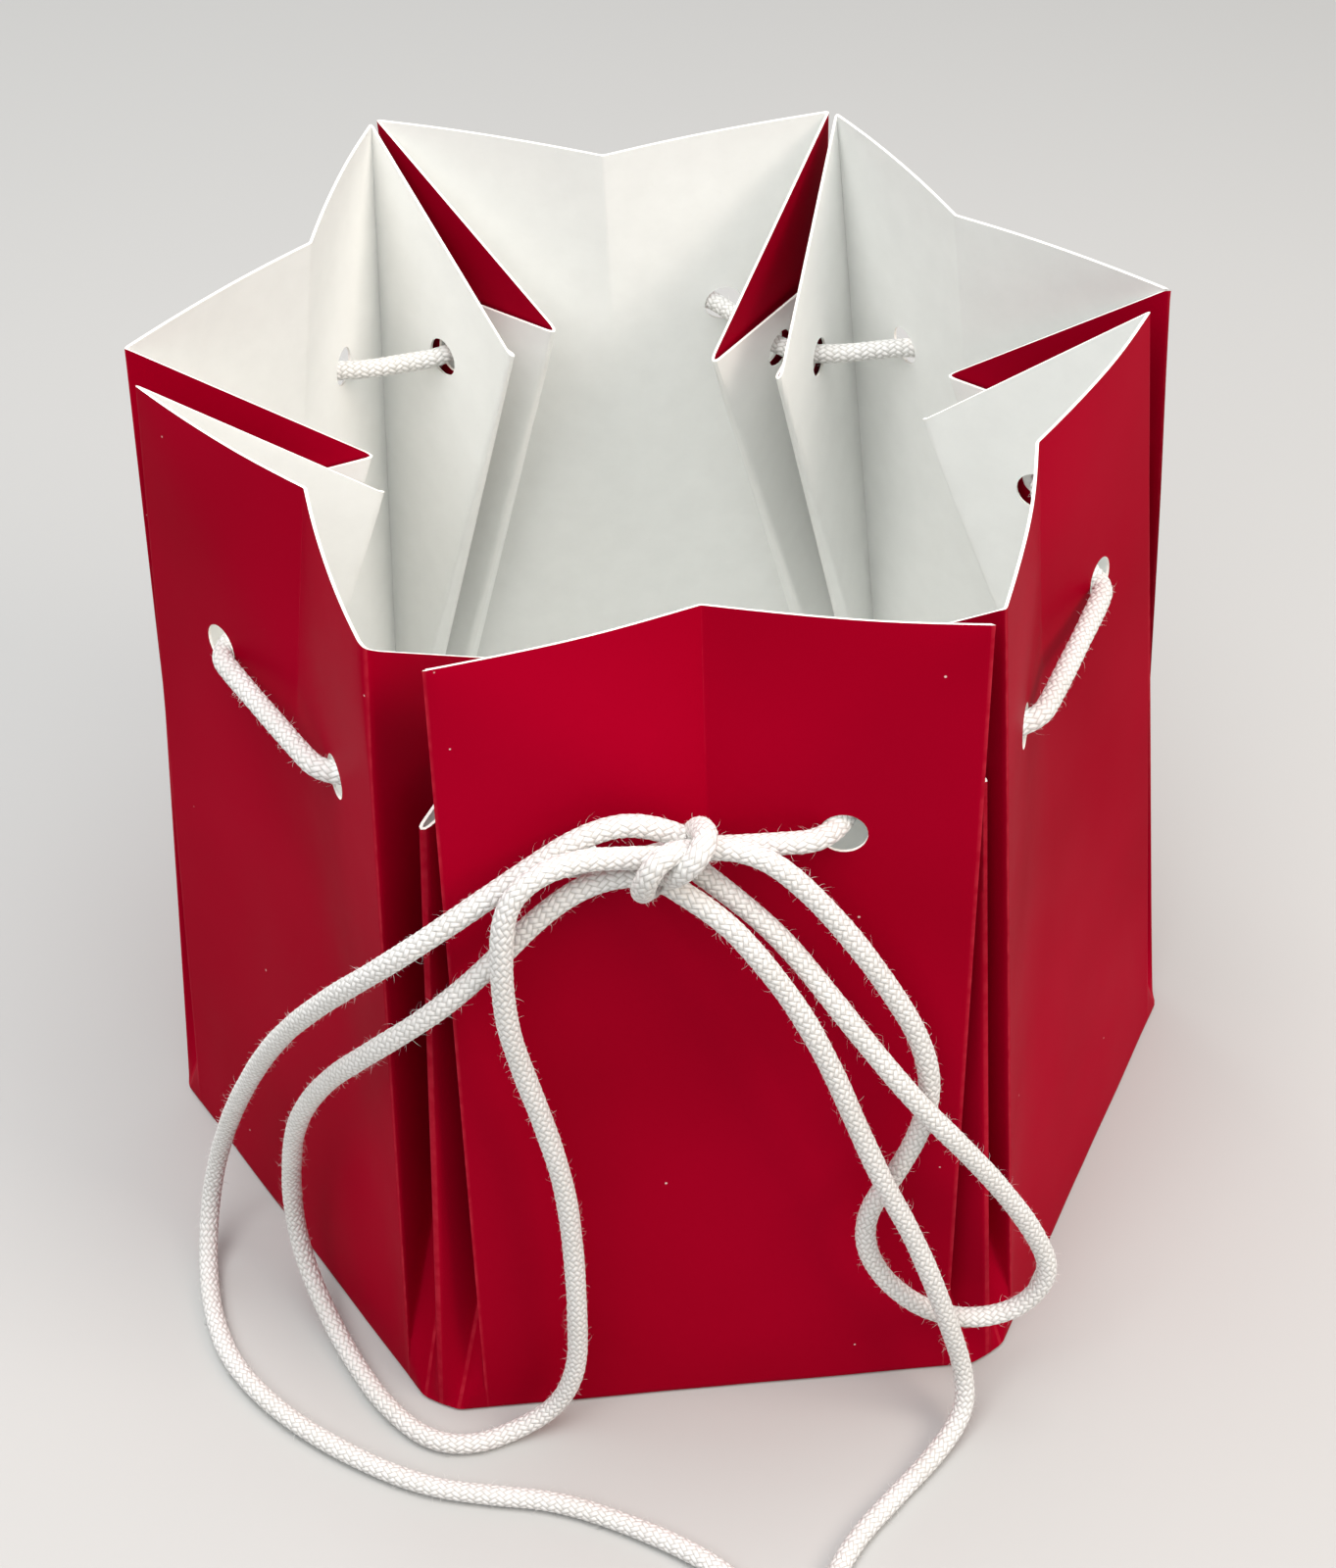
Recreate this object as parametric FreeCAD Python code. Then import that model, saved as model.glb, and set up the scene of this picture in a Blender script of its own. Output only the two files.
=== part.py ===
import FreeCAD, Part
import math
import os

from FreeCAD import Vector

os.makedirs("parts", exist_ok=True)

# A six-sided gift box folded from one sheet of card, drawn together by a cord
# that is laced through its walls and pleats and tied in a bow at the front.
# Millimetres. The origin is the middle of the base's underside, +Z up, and the
# wall with the bow faces -Y.

# ---- driving dimensions: the card blank -------------------------------------
CARD = 0.6                 # card thickness
BASE_SIDE = 130.0          # side of the hexagonal base, measured to its sharp corners
CORNER_CUT = 5.0           # each base corner is cut off this far along both sides
EAR_WIDTH = 11.7           # from the sharp base corner to the foot of a wall's side crease
EAR_HEIGHT = 14.0          # height up the side crease at which the pleat's fold starts
SIDE_CREASE = 217.0        # length of a wall's side crease, foot to rim
RIM_FLARE = 1.4            # a wall is this much wider at its rim than at its foot
FIN_WIDTH = 64.3           # rim of the pleat's outer face, laid flat
RIDGE_SETBACK = 13.8       # the pleat's inner face is this much narrower at its rim
VALLEY_FALL = 29.0         # the pleat's inward crease is this much shorter than the side crease
RIDGE_FALL = 41.2          # and its outward middle crease this much
FOLD_NOSE = 2 * CARD       # a crease folded back on itself is two cards wide

RIM_WIDTH = BASE_SIDE - 2 * EAR_WIDTH + RIM_FLARE
PLEAT_WIDTH = FIN_WIDTH - RIDGE_SETBACK
VALLEY_LENGTH = SIDE_CREASE - VALLEY_FALL
RIDGE_LENGTH = SIDE_CREASE - RIDGE_FALL

# ---- driving dimensions: the punched holes and the cord ----------------------
HOLE_DIAMETER = 9.5
HOLE_INSET = 26.0          # hole centre to the side crease, square to it
HOLE_DROP = 51.0           # hole centre below the rim, along the side crease
CORD = 4.5                 # diameter of the braided cotton cord
CORD_GAP = 0.4             # air between the cord and the card it lies along
KNOT_WIDTH = 14.0          # across the wraps of the bow's knot, seen from the front
KNOT_DEPTH = 13.0          # front to back
KNOT_SIDES = 12
KNOT_GAP = 3.1             # air behind the knot, at the front wall's pinched middle
KNOT_ASIDE = 6.8           # the knot sits this far left of the front wall's waist
KNOT_RISE = 0.8            # and this far above it
LACE_BEND = 6.0            # the cord's bend where it turns into a hole

# ---- how the opened box stands -----------------------------------------------
# For each wall, seen from outside: how far its rim has moved to the right and
# leans in, how far the rim's right end stands further out than its left end,
# how far the middle of the rim is pinched in, and how far it dips.
WALL_POSES = {
    "front": (3.6, 3.3, 0.0, 17.5, 3.8),
    "front_right": (-8.6, 13.8, -6.4, 9.0, 0.3),
    "back_right": (-3.8, 20.5, -6.2, 11.3, 0.3),
    "back": (1.9, 19.2, 10.0, 8.5, 5.7),
    "back_left": (-3.6, 15.9, -0.8, 14.1, 0.3),
    "front_left": (7.0, 14.8, 6.4, 13.3, 0.4),
}
# For each corner: how far its two inward creases reach sideways at the rim, as a share
# of the fin, counter-clockwise from above, first the one next to the wall before it.
PLEAT_POSES = {
    "front_right": (-0.432, -0.257),
    "right": (0.281, 0.495),
    "back_right": (-0.118, 0.143),
    "back_left": (-0.269, -0.065),
    "left": (-0.325, -0.115),
    "front_left": (0.084, 0.334),
}
WAIST_PINCH = 9.0          # how far the cord pulls each wall's middle in

WALLS = list(WALL_POSES)
CORNERS = list(PLEAT_POSES)
UP = Vector(0, 0, 1)
BASE_LEVEL = Vector(0, 0, CARD / 2)    # the card's middle, where it is the base


# ---- small geometry helpers --------------------------------------------------
def unit(vector):
    return Vector(vector) / vector.Length


def direction(degrees):
    angle = math.radians(degrees)
    return Vector(math.cos(angle), math.sin(angle), 0)


def square_to(vector, axis):
    """What is left of a vector once its share along a unit axis is taken out."""
    return vector - axis * vector.dot(axis)


def meeting_point(centres, radii, towards):
    """The point at the given distances from three centres, on the side named."""
    a, b, c = centres
    along = unit(b - a)
    across = unit(square_to(c - a, along))
    upright = along.cross(across)
    reach, offset, rise = (b - a).Length, along.dot(c - a), across.dot(c - a)
    x = (radii[0] ** 2 - radii[1] ** 2 + reach**2) / (2 * reach)
    y = (radii[0] ** 2 - radii[2] ** 2 + offset**2 + rise**2 - 2 * offset * x) / (2 * rise)
    z = math.sqrt(max(radii[0] ** 2 - x**2 - y**2, 0))
    if upright.dot(towards) < 0:
        z = -z
    return a + along * x + across * y + upright * z


# ---- the folded card: where its creases run ----------------------------------
def wall_frame(name):
    """The middle of a wall's base side, its right as seen from outside, and outwards."""
    angle = -90 + 60 * WALLS.index(name)
    outwards, right = direction(angle), direction(angle + 90)
    return BASE_LEVEL + outwards * BASE_SIDE * math.cos(math.radians(30)), right, outwards


def wall_creases(name):
    """The feet, side creases and pinched middle of one wall."""
    sway, lean, twist, pinch, dip = WALL_POSES[name]
    middle, right, outwards = wall_frame(name)
    half = math.sqrt((RIM_WIDTH / 2) ** 2 - pinch**2 - dip**2)
    turn = math.asin(twist / (2 * half))
    across = right * math.cos(turn) + outwards * math.sin(turn)
    inwards = right * math.sin(turn) - outwards * math.cos(turn)
    rim_middle = middle + right * sway - outwards * lean
    wall = {}
    for side, end in ((-1, "left"), (1, "right")):
        foot = middle + right * side * (BASE_SIDE / 2 - EAR_WIDTH)
        rim = rim_middle + across * side * half
        rim.z = foot.z + math.sqrt(SIDE_CREASE**2 - (rim - foot).Length ** 2)
        wall[end] = {
            "wall": name,
            "foot": foot,
            "ear": foot + unit(rim - foot) * EAR_HEIGHT,
            "rim": rim,
            "cut": middle + right * side * (BASE_SIDE / 2 - CORNER_CUT),
        }
    left, right_end = wall["left"], wall["right"]
    level = (left["rim"].z + right_end["rim"].z) / 2
    wall["rim_middle"] = Vector(rim_middle.x, rim_middle.y, level - dip) + inwards * pinch
    waist = 1 - HOLE_DROP / SIDE_CREASE
    up_the_wall = Vector(rim_middle.x, rim_middle.y, level) - middle
    wall["waist"] = middle + up_the_wall * waist + inwards * WAIST_PINCH
    return wall


def fin_tip(end, outwards, sideways, reach):
    """A pleat's inward crease at the rim, from its two lengths and its sideways place."""
    rim, cut = end["rim"], end["cut"]
    rim_gap, cut_gap = reach - rim.dot(sideways), reach - cut.dot(sideways)
    rim_radius = math.sqrt(FIN_WIDTH**2 - rim_gap**2)
    cut_radius = math.sqrt(VALLEY_LENGTH**2 - cut_gap**2)
    a = outwards * rim.dot(outwards) + UP * rim.z
    b = outwards * cut.dot(outwards) + UP * cut.z
    along = unit(b - a)
    share = (rim_radius**2 - cut_radius**2 + (b - a).Length ** 2) / (2 * (b - a).Length)
    aside = math.sqrt(rim_radius**2 - share**2)
    square = sideways.cross(along)
    if square.dot(outwards) > 0:
        square = -square
    return a + along * share + square * aside + sideways * reach


def corner_creases(index, walls):
    """The W-shaped pleat at one corner, as strips between creases, wall to wall."""
    name = CORNERS[index]
    before = walls[WALLS[index]]["right"]
    after = walls[WALLS[(index + 1) % 6]]["left"]
    outwards, sideways = direction(-60 + 60 * index), direction(30 + 60 * index)
    tips = [
        fin_tip(end, outwards, sideways, FIN_WIDTH * share)
        for end, share in zip((before, after), PLEAT_POSES[name])
    ]
    ridge_foot = (before["cut"] + after["cut"]) / 2
    ridge_top = meeting_point(
        (tips[0], tips[1], ridge_foot), (PLEAT_WIDTH, PLEAT_WIDTH, RIDGE_LENGTH), outwards
    )
    centres = [
        (before["cut"], tips[0], before["rim"], ridge_top),
        (ridge_foot, ridge_top, tips[0], tips[1]),
        (after["cut"], tips[1], ridge_top, after["rim"]),
    ]
    outline = [before["foot"], before["cut"], ridge_foot, after["cut"], after["foot"]]
    noses = []
    for step, (foot, top, previous, following) in enumerate(centres):
        along = unit(top - foot)
        across = unit(
            unit(square_to(following - top, along)) - unit(square_to(previous - top, along))
        )
        back, ahead = outline[step], outline[step + 2]
        noses.append(
            (
                (foot + unit(back - foot) * FOLD_NOSE / 2, top - across * FOLD_NOSE / 2),
                (foot + unit(ahead - foot) * FOLD_NOSE / 2, top + across * FOLD_NOSE / 2),
            )
        )
    return {"before": before, "after": after, "creases": [line for nose in noses for line in nose]}


# ---- the folded card: its middle surface, then its thickness ------------------
class Sheet:
    """Points, and facets that list them counter-clockwise seen from the red side."""

    def __init__(self):
        self.points = []
        self.facets = []

    def number(self, point):
        for index, known in enumerate(self.points):
            if known.isEqual(point, 1e-6):
                return index
        self.points.append(point)
        return len(self.points) - 1

    def facet(self, *corners):
        self.facets.append([self.number(corner) for corner in corners])

    def strip(self, line, following):
        """Two facets between neighbouring creases, each a foot and a top."""
        self.facet(line[0], following[0], following[1])
        self.facet(line[0], following[1], line[1])

    def normal(self, facet):
        a, b, c = (self.points[i] for i in facet[:3])
        return unit((b - a).cross(c - a))

    def lifts(self):
        """For each point, the step that raises all its facets by half a card."""
        sums = [FreeCAD.Matrix(0, 0, 0, 0, 0, 0, 0, 0, 0, 0, 0, 0, 0, 0, 0, 1) for _ in self.points]
        pulls = [Vector() for _ in self.points]
        for facet in self.facets:
            n = self.normal(facet)
            outer = FreeCAD.Matrix(
                n.x * n.x, n.x * n.y, n.x * n.z, 0,
                n.y * n.x, n.y * n.y, n.y * n.z, 0,
                n.z * n.x, n.z * n.y, n.z * n.z, 0,
                0, 0, 0, 0,
            )
            for index in facet:
                sums[index] = sums[index] + outer
                pulls[index] = pulls[index] + n * CARD / 2
        steady = 0.0005
        damping = FreeCAD.Matrix(
            steady, 0, 0, 0, 0, steady, 0, 0, 0, 0, steady, 0, 0, 0, 0, 0
        )
        lifts = [(total + damping).inverse().multVec(pull) for total, pull in zip(sums, pulls)]
        for point, lift in zip(self.points, lifts):
            if point.z == BASE_LEVEL.z:
                lift.z = -BASE_LEVEL.z
        return lifts

    def open_edges(self):
        """The edges that only one facet has, which are the card's cut rim."""
        sides = {}
        for facet in self.facets:
            for a, b in zip(facet, facet[1:] + facet[:1]):
                sides[a, b] = True
        return [(a, b) for a, b in sides if (b, a) not in sides]

    def solid(self):
        lifts = self.lifts()
        outside = [point + lift for point, lift in zip(self.points, lifts)]
        inside = [point - lift for point, lift in zip(self.points, lifts)]
        faces = []
        for facet in self.facets:
            faces.append(flat_face([outside[i] for i in facet]))
            faces.append(flat_face([inside[i] for i in reversed(facet)]))
        for a, b in self.open_edges():
            faces.append(flat_face([outside[b], outside[a], inside[a]]))
            faces.append(flat_face([outside[b], inside[a], inside[b]]))
        return closed_solid(faces)


def flat_face(corners):
    return Part.Face(Part.makePolygon(corners + corners[:1]))


def closed_solid(faces):
    shell = Part.makeShell(faces)
    shell.sewShape()
    solid = Part.makeSolid(shell.Shells[0])
    if solid.Volume < 0:
        solid.reverse()
    return solid.removeSplitter()


def folded_sheet(walls, corners):
    sheet = Sheet()
    for name in WALLS:
        wall = walls[name]
        left, right = wall["left"], wall["right"]
        waist, top = wall["waist"], wall["rim_middle"]
        sheet.facet(left["foot"], right["foot"], waist)
        sheet.facet(right["foot"], right["ear"], waist)
        sheet.facet(right["ear"], right["rim"], waist)
        sheet.facet(right["rim"], top, waist)
        sheet.facet(top, left["rim"], waist)
        sheet.facet(left["rim"], left["ear"], waist)
        sheet.facet(left["ear"], left["foot"], waist)
    outline = []
    for corner in corners:
        before, after, creases = corner["before"], corner["after"], corner["creases"]
        first, last = creases[0], creases[-1]
        sheet.facet(before["foot"], first[0], before["ear"])
        sheet.facet(before["ear"], first[0], first[1])
        sheet.facet(before["ear"], first[1], before["rim"])
        for line, following in zip(creases, creases[1:]):
            sheet.strip(line, following)
        sheet.facet(last[0], after["foot"], after["ear"])
        sheet.facet(last[0], after["ear"], last[1])
        sheet.facet(last[1], after["ear"], after["rim"])
        outline += [before["foot"]] + [line[0] for line in creases] + [after["foot"]]
    sheet.facet(*reversed(outline))
    return sheet


# ---- the punched holes ---------------------------------------------------------
def side_hole(end, towards):
    """A hole beside a side crease, in the facet that reaches to the point named."""
    down = unit(end["foot"] - end["rim"])
    inset = unit(square_to(towards - end["rim"], down))
    return end["rim"] + down * HOLE_DROP + inset * HOLE_INSET, unit(down.cross(inset))


def folded_over(hole, foot, top, towards):
    """The same hole in the layer that lies behind it once a crease is folded flat."""
    down = unit(foot - top)
    level = (hole - top).dot(down)
    distance = square_to(hole - top, down).Length
    inset = unit(square_to(towards - top, down))
    return top + down * level + inset * distance, unit(down.cross(inset))


def pleat_holes(corner):
    """The four holes through a corner's pleat, from the wall before to the wall after."""
    creases = corner["creases"]
    ridge_top = (creases[2][1] + creases[3][1]) / 2
    outer = side_hole(corner["before"], creases[0][1])
    inner = folded_over(outer[0], *creases[1], ridge_top)
    far_outer = side_hole(corner["after"], creases[5][1])
    far_inner = folded_over(far_outer[0], *creases[4], ridge_top)
    return [outer, inner, far_inner, far_outer]


def punch(hole):
    centre, axis = hole
    depth = 3 * CARD
    return Part.makeCylinder(HOLE_DIAMETER / 2, depth, centre - axis * depth / 2, axis)


# ---- the cord ------------------------------------------------------------------
# Where the loose cord runs, by hand. Each route starts or ends inside the knot.
LEFT_TAIL = [
    (-3, -109.5, 171), (-11, -110.4, 178.4), (-21, -111.8, 178.6), (-32, -113.5, 172),
    (-46, -117, 164), (-61, -115.5, 150.5), (-76, -105, 131), (-89, -91, 106.5),
    (-102, -72, 70), (-112, -55, 35), (-117.5, -54, 15.5), (-119.5, -64, 4.2),
    (-118, -80, 2.3), (-112.5, -96, 2.3), (-100, -111.5, 2.3), (-83, -125, 2.3),
    (-67, -134, 2.3), (-53, -137.5, 2.3), (-38.5, -140.5, 2.3), (-24, -147.5, 2.3),
    (-8, -157.5, 2.3), (2, -168, 2.3), (6, -182, 2.3), (3, -196, 2.3),
]
LEFT_LOOP = [
    (-4, -113, 170.2), (-13, -113.8, 171), (-22, -115.4, 171.3), (-30, -118.2, 169.5),
    (-36.5, -120, 163), (-39, -122, 151), (-39, -121.5, 138), (-37, -120, 123),
    (-33.5, -119, 104), (-30.5, -118.5, 83), (-30, -118.5, 60), (-30.5, -119.5, 40),
    (-31.5, -119.5, 22), (-36.5, -119.5, 8.5), (-46.5, -121, 2.5), (-57, -124, 2.3),
    (-67, -121.5, 2.3), (-76, -112, 2.3), (-83, -100, 2.3), (-89.5, -86.5, 4.5),
    (-94.3, -76.5, 14), (-95.3, -73, 29), (-93.5, -75.5, 47), (-88.5, -86.5, 76),
    (-79, -98, 100.5), (-66, -111, 122.5), (-53, -117, 138.5), (-42, -118, 148),
    (-31.5, -116, 156.5), (-22, -114, 162.4), (-13, -113.3, 164.2), (-4, -113.3, 163.4),
]
RIGHT_LOOP = [
    (-5, -112.5, 170), (3, -113.3, 171.5), (12, -114, 168), (19.5, -115, 160),
    (28, -116, 147), (36, -117, 133), (43, -117.5, 119), (46, -117.5, 105),
    (44.5, -117.5, 92), (39.5, -117.5, 78), (33.5, -117, 66), (33, -117, 53),
    (38, -118, 41), (47, -119, 31), (58, -119, 26), (69, -119, 29),
    (75, -118.5, 40), (70.5, -118, 54), (61.5, -120, 73), (52, -122, 90),
    (43.5, -123, 103.5), (34, -121.5, 119), (25, -119, 132.5), (16, -116, 145),
    (7.5, -112.8, 155.5), (-1, -111.3, 166),
]
RIGHT_TAIL = [
    (-6.5, -114, 164.5), (2.5, -118.6, 157.5), (11, -120.2, 145.5), (18.5, -121, 132),
    (25, -122, 116.5), (30, -123, 100), (36, -123.5, 81), (42, -123.5, 65),
    (47, -124.5, 49), (51.5, -125, 32), (55, -125, 17), (55.5, -129, 6),
    (47.5, -137.5, 2.5), (36, -148, 2.3), (26.5, -157, 2.3), (19, -168, 2.3),
    (18, -181, 2.3), (22, -193, 2.3),
]
# They were laid for this base side, cord and height of the knot.
LAID_BASE_SIDE, LAID_CORD, LAID_KNOT_HEIGHT = 130.0, 4.5, 167.0


def laid(point, knot):
    """A route's point, moved with the box's side, the cord and the knot's height."""
    spread = BASE_SIDE / LAID_BASE_SIDE
    drop = (knot.z - CORD / 2) / (LAID_KNOT_HEIGHT - LAID_CORD / 2)
    return Vector(
        point[0] * spread, point[1] * spread, CORD / 2 + (point[2] - LAID_CORD / 2) * drop
    )


def rounded_wire(route, tightest):
    """Straight runs joined by tangent arcs, and the arcs' radii."""
    pieces, radii, start = [], [], route[0]
    for before, point, after, limit in zip(route, route[1:], route[2:], tightest):
        back, ahead = unit(before - point), unit(after - point)
        half_turn = (math.pi - back.getAngle(ahead)) / 2
        shorter = min((before - point).Length, (after - point).Length)
        radius = min(0.45 * shorter / math.tan(half_turn), limit)
        reach = radius * math.tan(half_turn)
        middle = point + unit(back + ahead) * radius * (1 / math.cos(half_turn) - 1)
        entry, leaving = point + back * reach, point + ahead * reach
        pieces.append(Part.LineSegment(start, entry).toShape())
        pieces.append(Part.Arc(entry, middle, leaving).toShape())
        radii.append(radius)
        start = leaving
    pieces.append(Part.LineSegment(start, route[-1]).toShape())
    return Part.Wire(pieces), radii


def cord(name, route, knot, tightest=None):
    """A plain round cord along a route, which is trimmed where it meets the knot."""
    wire, radii = rounded_wire(route, tightest or [BASE_SIDE] * (len(route) - 2))
    ring = Part.makeCircle(CORD / 2, route[0], route[1] - route[0])
    tube = wire.makePipeShell([Part.Wire(ring)], True, False)
    outside_knot = tube.cut(bow_knot(knot)).Solids
    loose = max(outside_knot, key=lambda piece: piece.Volume)
    section = math.pi * CORD**2 / 4
    print(name, "length", round(wire.Length), "tightest radius", round(min(radii), 1))
    print("   volume / (section x length):", round(tube.Volume / section / wire.Length, 3))
    return loose


def knot_centre(walls):
    """The middle of the knot, which lies against the front wall at its waist."""
    stand_off = CARD / 2 + KNOT_GAP + KNOT_DEPTH / 2
    return walls["front"]["waist"] + Vector(-KNOT_ASIDE, -stand_off, KNOT_RISE)


def bow_knot(centre):
    """The wraps of the knot, as one plain drum that faces the front."""
    drum = Part.makePolygon(
        [
            centre
            + Vector(0, KNOT_DEPTH / 2, 0)
            + Vector(math.cos(angle), 0, math.sin(angle)) * KNOT_WIDTH / 2
            for angle in [2 * math.pi * (i + 0.5) / KNOT_SIDES for i in range(KNOT_SIDES + 1)]
        ]
    )
    return Part.Face(drum).extrude(Vector(0, -KNOT_DEPTH, 0))


def outside_of(hole, inner_point):
    """Where a run from inside, through a wall's hole, has room to turn along the wall."""
    centre, normal = hole
    outwards = unit(centre - inner_point)
    return centre + outwards * (CARD / 2 + CORD_GAP + CORD / 2) / abs(outwards.dot(normal))


def lacing_route(walls, corners, knot):
    """From the knot through the front wall's right hole, all the way round, and back."""
    in_the_knot = knot + Vector(0, KNOT_DEPTH / 2 - CORD_GAP - CORD / 2, 0)
    route = [in_the_knot]
    for corner in corners:
        before, after = corner["before"], corner["after"]
        holes = pleat_holes(corner)
        first, last = holes[0][0], holes[-1][0]
        route.append(outside_of(side_hole(before, walls[before["wall"]]["waist"]), first))
        route += [first, last]
        route.append(outside_of(side_hole(after, walls[after["wall"]]["waist"]), last))
    tightest = [LACE_BEND, BASE_SIDE, BASE_SIDE, LACE_BEND] * len(corners)
    return route + [in_the_knot], tightest


# ---- the part --------------------------------------------------------------------
walls = {name: wall_creases(name) for name in WALLS}
corners = [corner_creases(index, walls) for index in range(len(CORNERS))]

holes = []
for wall in walls.values():
    holes += [side_hole(wall[end], wall["waist"]) for end in ("left", "right")]
for corner in corners:
    holes += pleat_holes(corner)

card = folded_sheet(walls, corners).solid().cut([punch(hole) for hole in holes]).Solids[0]
knot = knot_centre(walls)
lacing, bends = lacing_route(walls, corners, knot)
nodes = {
    "folded_card": card,
    "bow_knot": bow_knot(knot),
    "laced_cord": cord("laced_cord", lacing, knot, bends),
}
for name, route in (
    ("left_loop", LEFT_LOOP),
    ("right_loop", RIGHT_LOOP),
    ("left_tail", LEFT_TAIL),
    ("right_tail", RIGHT_TAIL),
):
    nodes[name] = cord(name, [laid(point, knot) for point in route], knot)
for name, shape in nodes.items():
    shape.exportStep("parts/" + name + ".step")
    print(name, "valid:", shape.isValid(), "volume", round(shape.Volume), "faces", len(shape.Faces))
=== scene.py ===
import math

import bpy
import numpy as np
from mathutils import Matrix, Vector


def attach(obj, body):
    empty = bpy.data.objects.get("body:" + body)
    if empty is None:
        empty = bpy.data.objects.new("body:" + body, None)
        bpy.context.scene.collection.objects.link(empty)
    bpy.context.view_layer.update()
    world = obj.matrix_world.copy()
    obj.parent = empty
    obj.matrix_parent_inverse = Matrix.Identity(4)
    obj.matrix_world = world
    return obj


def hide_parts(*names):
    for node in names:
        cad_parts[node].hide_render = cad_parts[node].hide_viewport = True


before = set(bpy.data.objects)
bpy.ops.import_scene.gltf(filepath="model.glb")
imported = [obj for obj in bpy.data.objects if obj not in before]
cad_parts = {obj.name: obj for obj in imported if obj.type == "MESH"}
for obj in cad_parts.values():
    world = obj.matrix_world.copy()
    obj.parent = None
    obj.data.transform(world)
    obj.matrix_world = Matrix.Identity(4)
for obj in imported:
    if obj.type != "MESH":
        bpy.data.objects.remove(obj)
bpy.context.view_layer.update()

# A six-sided gift box folded from one sheet of glossy red card, white inside,
# laced with a braided cotton cord that is tied in a bow at the front.

MM = 0.001
random = np.random.default_rng(7)


# ---- small helpers ---------------------------------------------------------------
def srgb(code):
    """A hex colour as the linear numbers that a shader takes."""
    values = [int(code[i : i + 2], 16) / 255 for i in (1, 3, 5)]
    return (*[v / 12.92 if v <= 0.04045 else ((v + 0.055) / 1.055) ** 2.4 for v in values], 1.0)


def let_go():
    """Nothing selected and nothing in edit mode, so an operator touches only its own piece."""
    if bpy.context.object and bpy.context.object.mode != "OBJECT":
        bpy.ops.object.mode_set(mode="OBJECT")
    bpy.ops.object.select_all(action="DESELECT")


def new_object(name, data):
    piece = bpy.data.objects.new(name, data)
    bpy.context.scene.collection.objects.link(piece)
    return piece


def read(items, key, width=1, kind=float):
    """One property of all of a mesh's vertices, edges, faces, loops or values."""
    values = np.empty(len(items) * width, dtype=kind)
    items.foreach_get(key, values)
    return values.reshape(-1, width) if width > 1 else values


def select_only(mesh, **chosen):
    """Of the mesh's vertices, edges and polygons, only those chosen by a mask selected."""
    for kind in ("vertices", "edges", "polygons"):
        items = getattr(mesh, kind)
        items.foreach_set("select", chosen.get(kind, np.zeros(len(items), dtype=bool)))


# ---- camera ------------------------------------------------------------------------
def place_camera():
    """The camera stands in front of the box, to its left, and looks down into it."""
    stand = (-0.0253, -0.4697, 0.5069)
    yaw, down, roll = math.radians(2.956), math.radians(42.305), math.radians(-2.711)
    forward = Vector(
        (math.sin(yaw) * math.cos(down), math.cos(yaw) * math.cos(down), -math.sin(down))
    )
    level = forward.cross(Vector((0, 0, 1))).normalized()
    upright = level.cross(forward)
    right = level * math.cos(roll) + upright * math.sin(roll)
    up = upright * math.cos(roll) - level * math.sin(roll)
    data = bpy.data.cameras.new("camera")
    data.lens = 59.814
    data.sensor_width = 36
    data.shift_x = 0.00534
    data.shift_y = 0.01890
    data.clip_start = 0.01
    camera = new_object("camera", data)
    turn = Matrix((right, up, -forward)).transposed()
    camera.matrix_world = Matrix.Translation(stand) @ turn.to_4x4()
    bpy.context.scene.camera = camera


place_camera()


# ---- the cord: where it runs, in metres ---------------------------------------------
CORD = 0.0045

LEFT_TAIL = [
    (-0.003, -0.1095, 0.1725), (-0.0103, -0.1105, 0.1779), (-0.0205, -0.1118, 0.1774),
    (-0.0325, -0.1133, 0.1703), (-0.046, -0.117, 0.163), (-0.061, -0.1155, 0.1505),
    (-0.076, -0.105, 0.131), (-0.089, -0.091, 0.1065), (-0.102, -0.072, 0.070),
    (-0.112, -0.055, 0.035), (-0.1175, -0.054, 0.0155), (-0.1195, -0.064, 0.0042),
    (-0.118, -0.080, 0.0023), (-0.1125, -0.096, 0.0023), (-0.100, -0.1115, 0.0023),
    (-0.083, -0.125, 0.0023), (-0.067, -0.134, 0.0023), (-0.053, -0.1375, 0.0023),
    (-0.0385, -0.1405, 0.0023), (-0.024, -0.1475, 0.0023), (-0.008, -0.1575, 0.0023),
    (0.002, -0.168, 0.0023), (0.006, -0.182, 0.0023), (0.003, -0.196, 0.0023),
]
LEFT_LOOP = [
    (-0.004, -0.113, 0.1705), (-0.0125, -0.1148, 0.1728), (-0.022, -0.1166, 0.1752),
    (-0.0307, -0.119, 0.1745), (-0.0370, -0.121, 0.1690), (-0.0389, -0.122, 0.1555),
    (-0.039, -0.1215, 0.138), (-0.037, -0.120, 0.123), (-0.0335, -0.119, 0.104),
    (-0.0305, -0.1185, 0.083), (-0.030, -0.1185, 0.060), (-0.0305, -0.1195, 0.040),
    (-0.0315, -0.1195, 0.022), (-0.0365, -0.1195, 0.0085), (-0.0465, -0.121, 0.0025),
    (-0.057, -0.124, 0.0023), (-0.067, -0.1215, 0.0023), (-0.076, -0.112, 0.0023),
    (-0.083, -0.100, 0.0023), (-0.0895, -0.0865, 0.0045), (-0.0943, -0.0765, 0.014),
    (-0.0953, -0.073, 0.029), (-0.0935, -0.0755, 0.047), (-0.0885, -0.0865, 0.076),
    (-0.079, -0.098, 0.1005), (-0.066, -0.111, 0.1225), (-0.053, -0.117, 0.1376),
    (-0.0415, -0.1172, 0.1492), (-0.0312, -0.1155, 0.1600), (-0.022, -0.1142, 0.1662),
    (-0.013, -0.1137, 0.1678), (-0.004, -0.1135, 0.1662),
]
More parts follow.
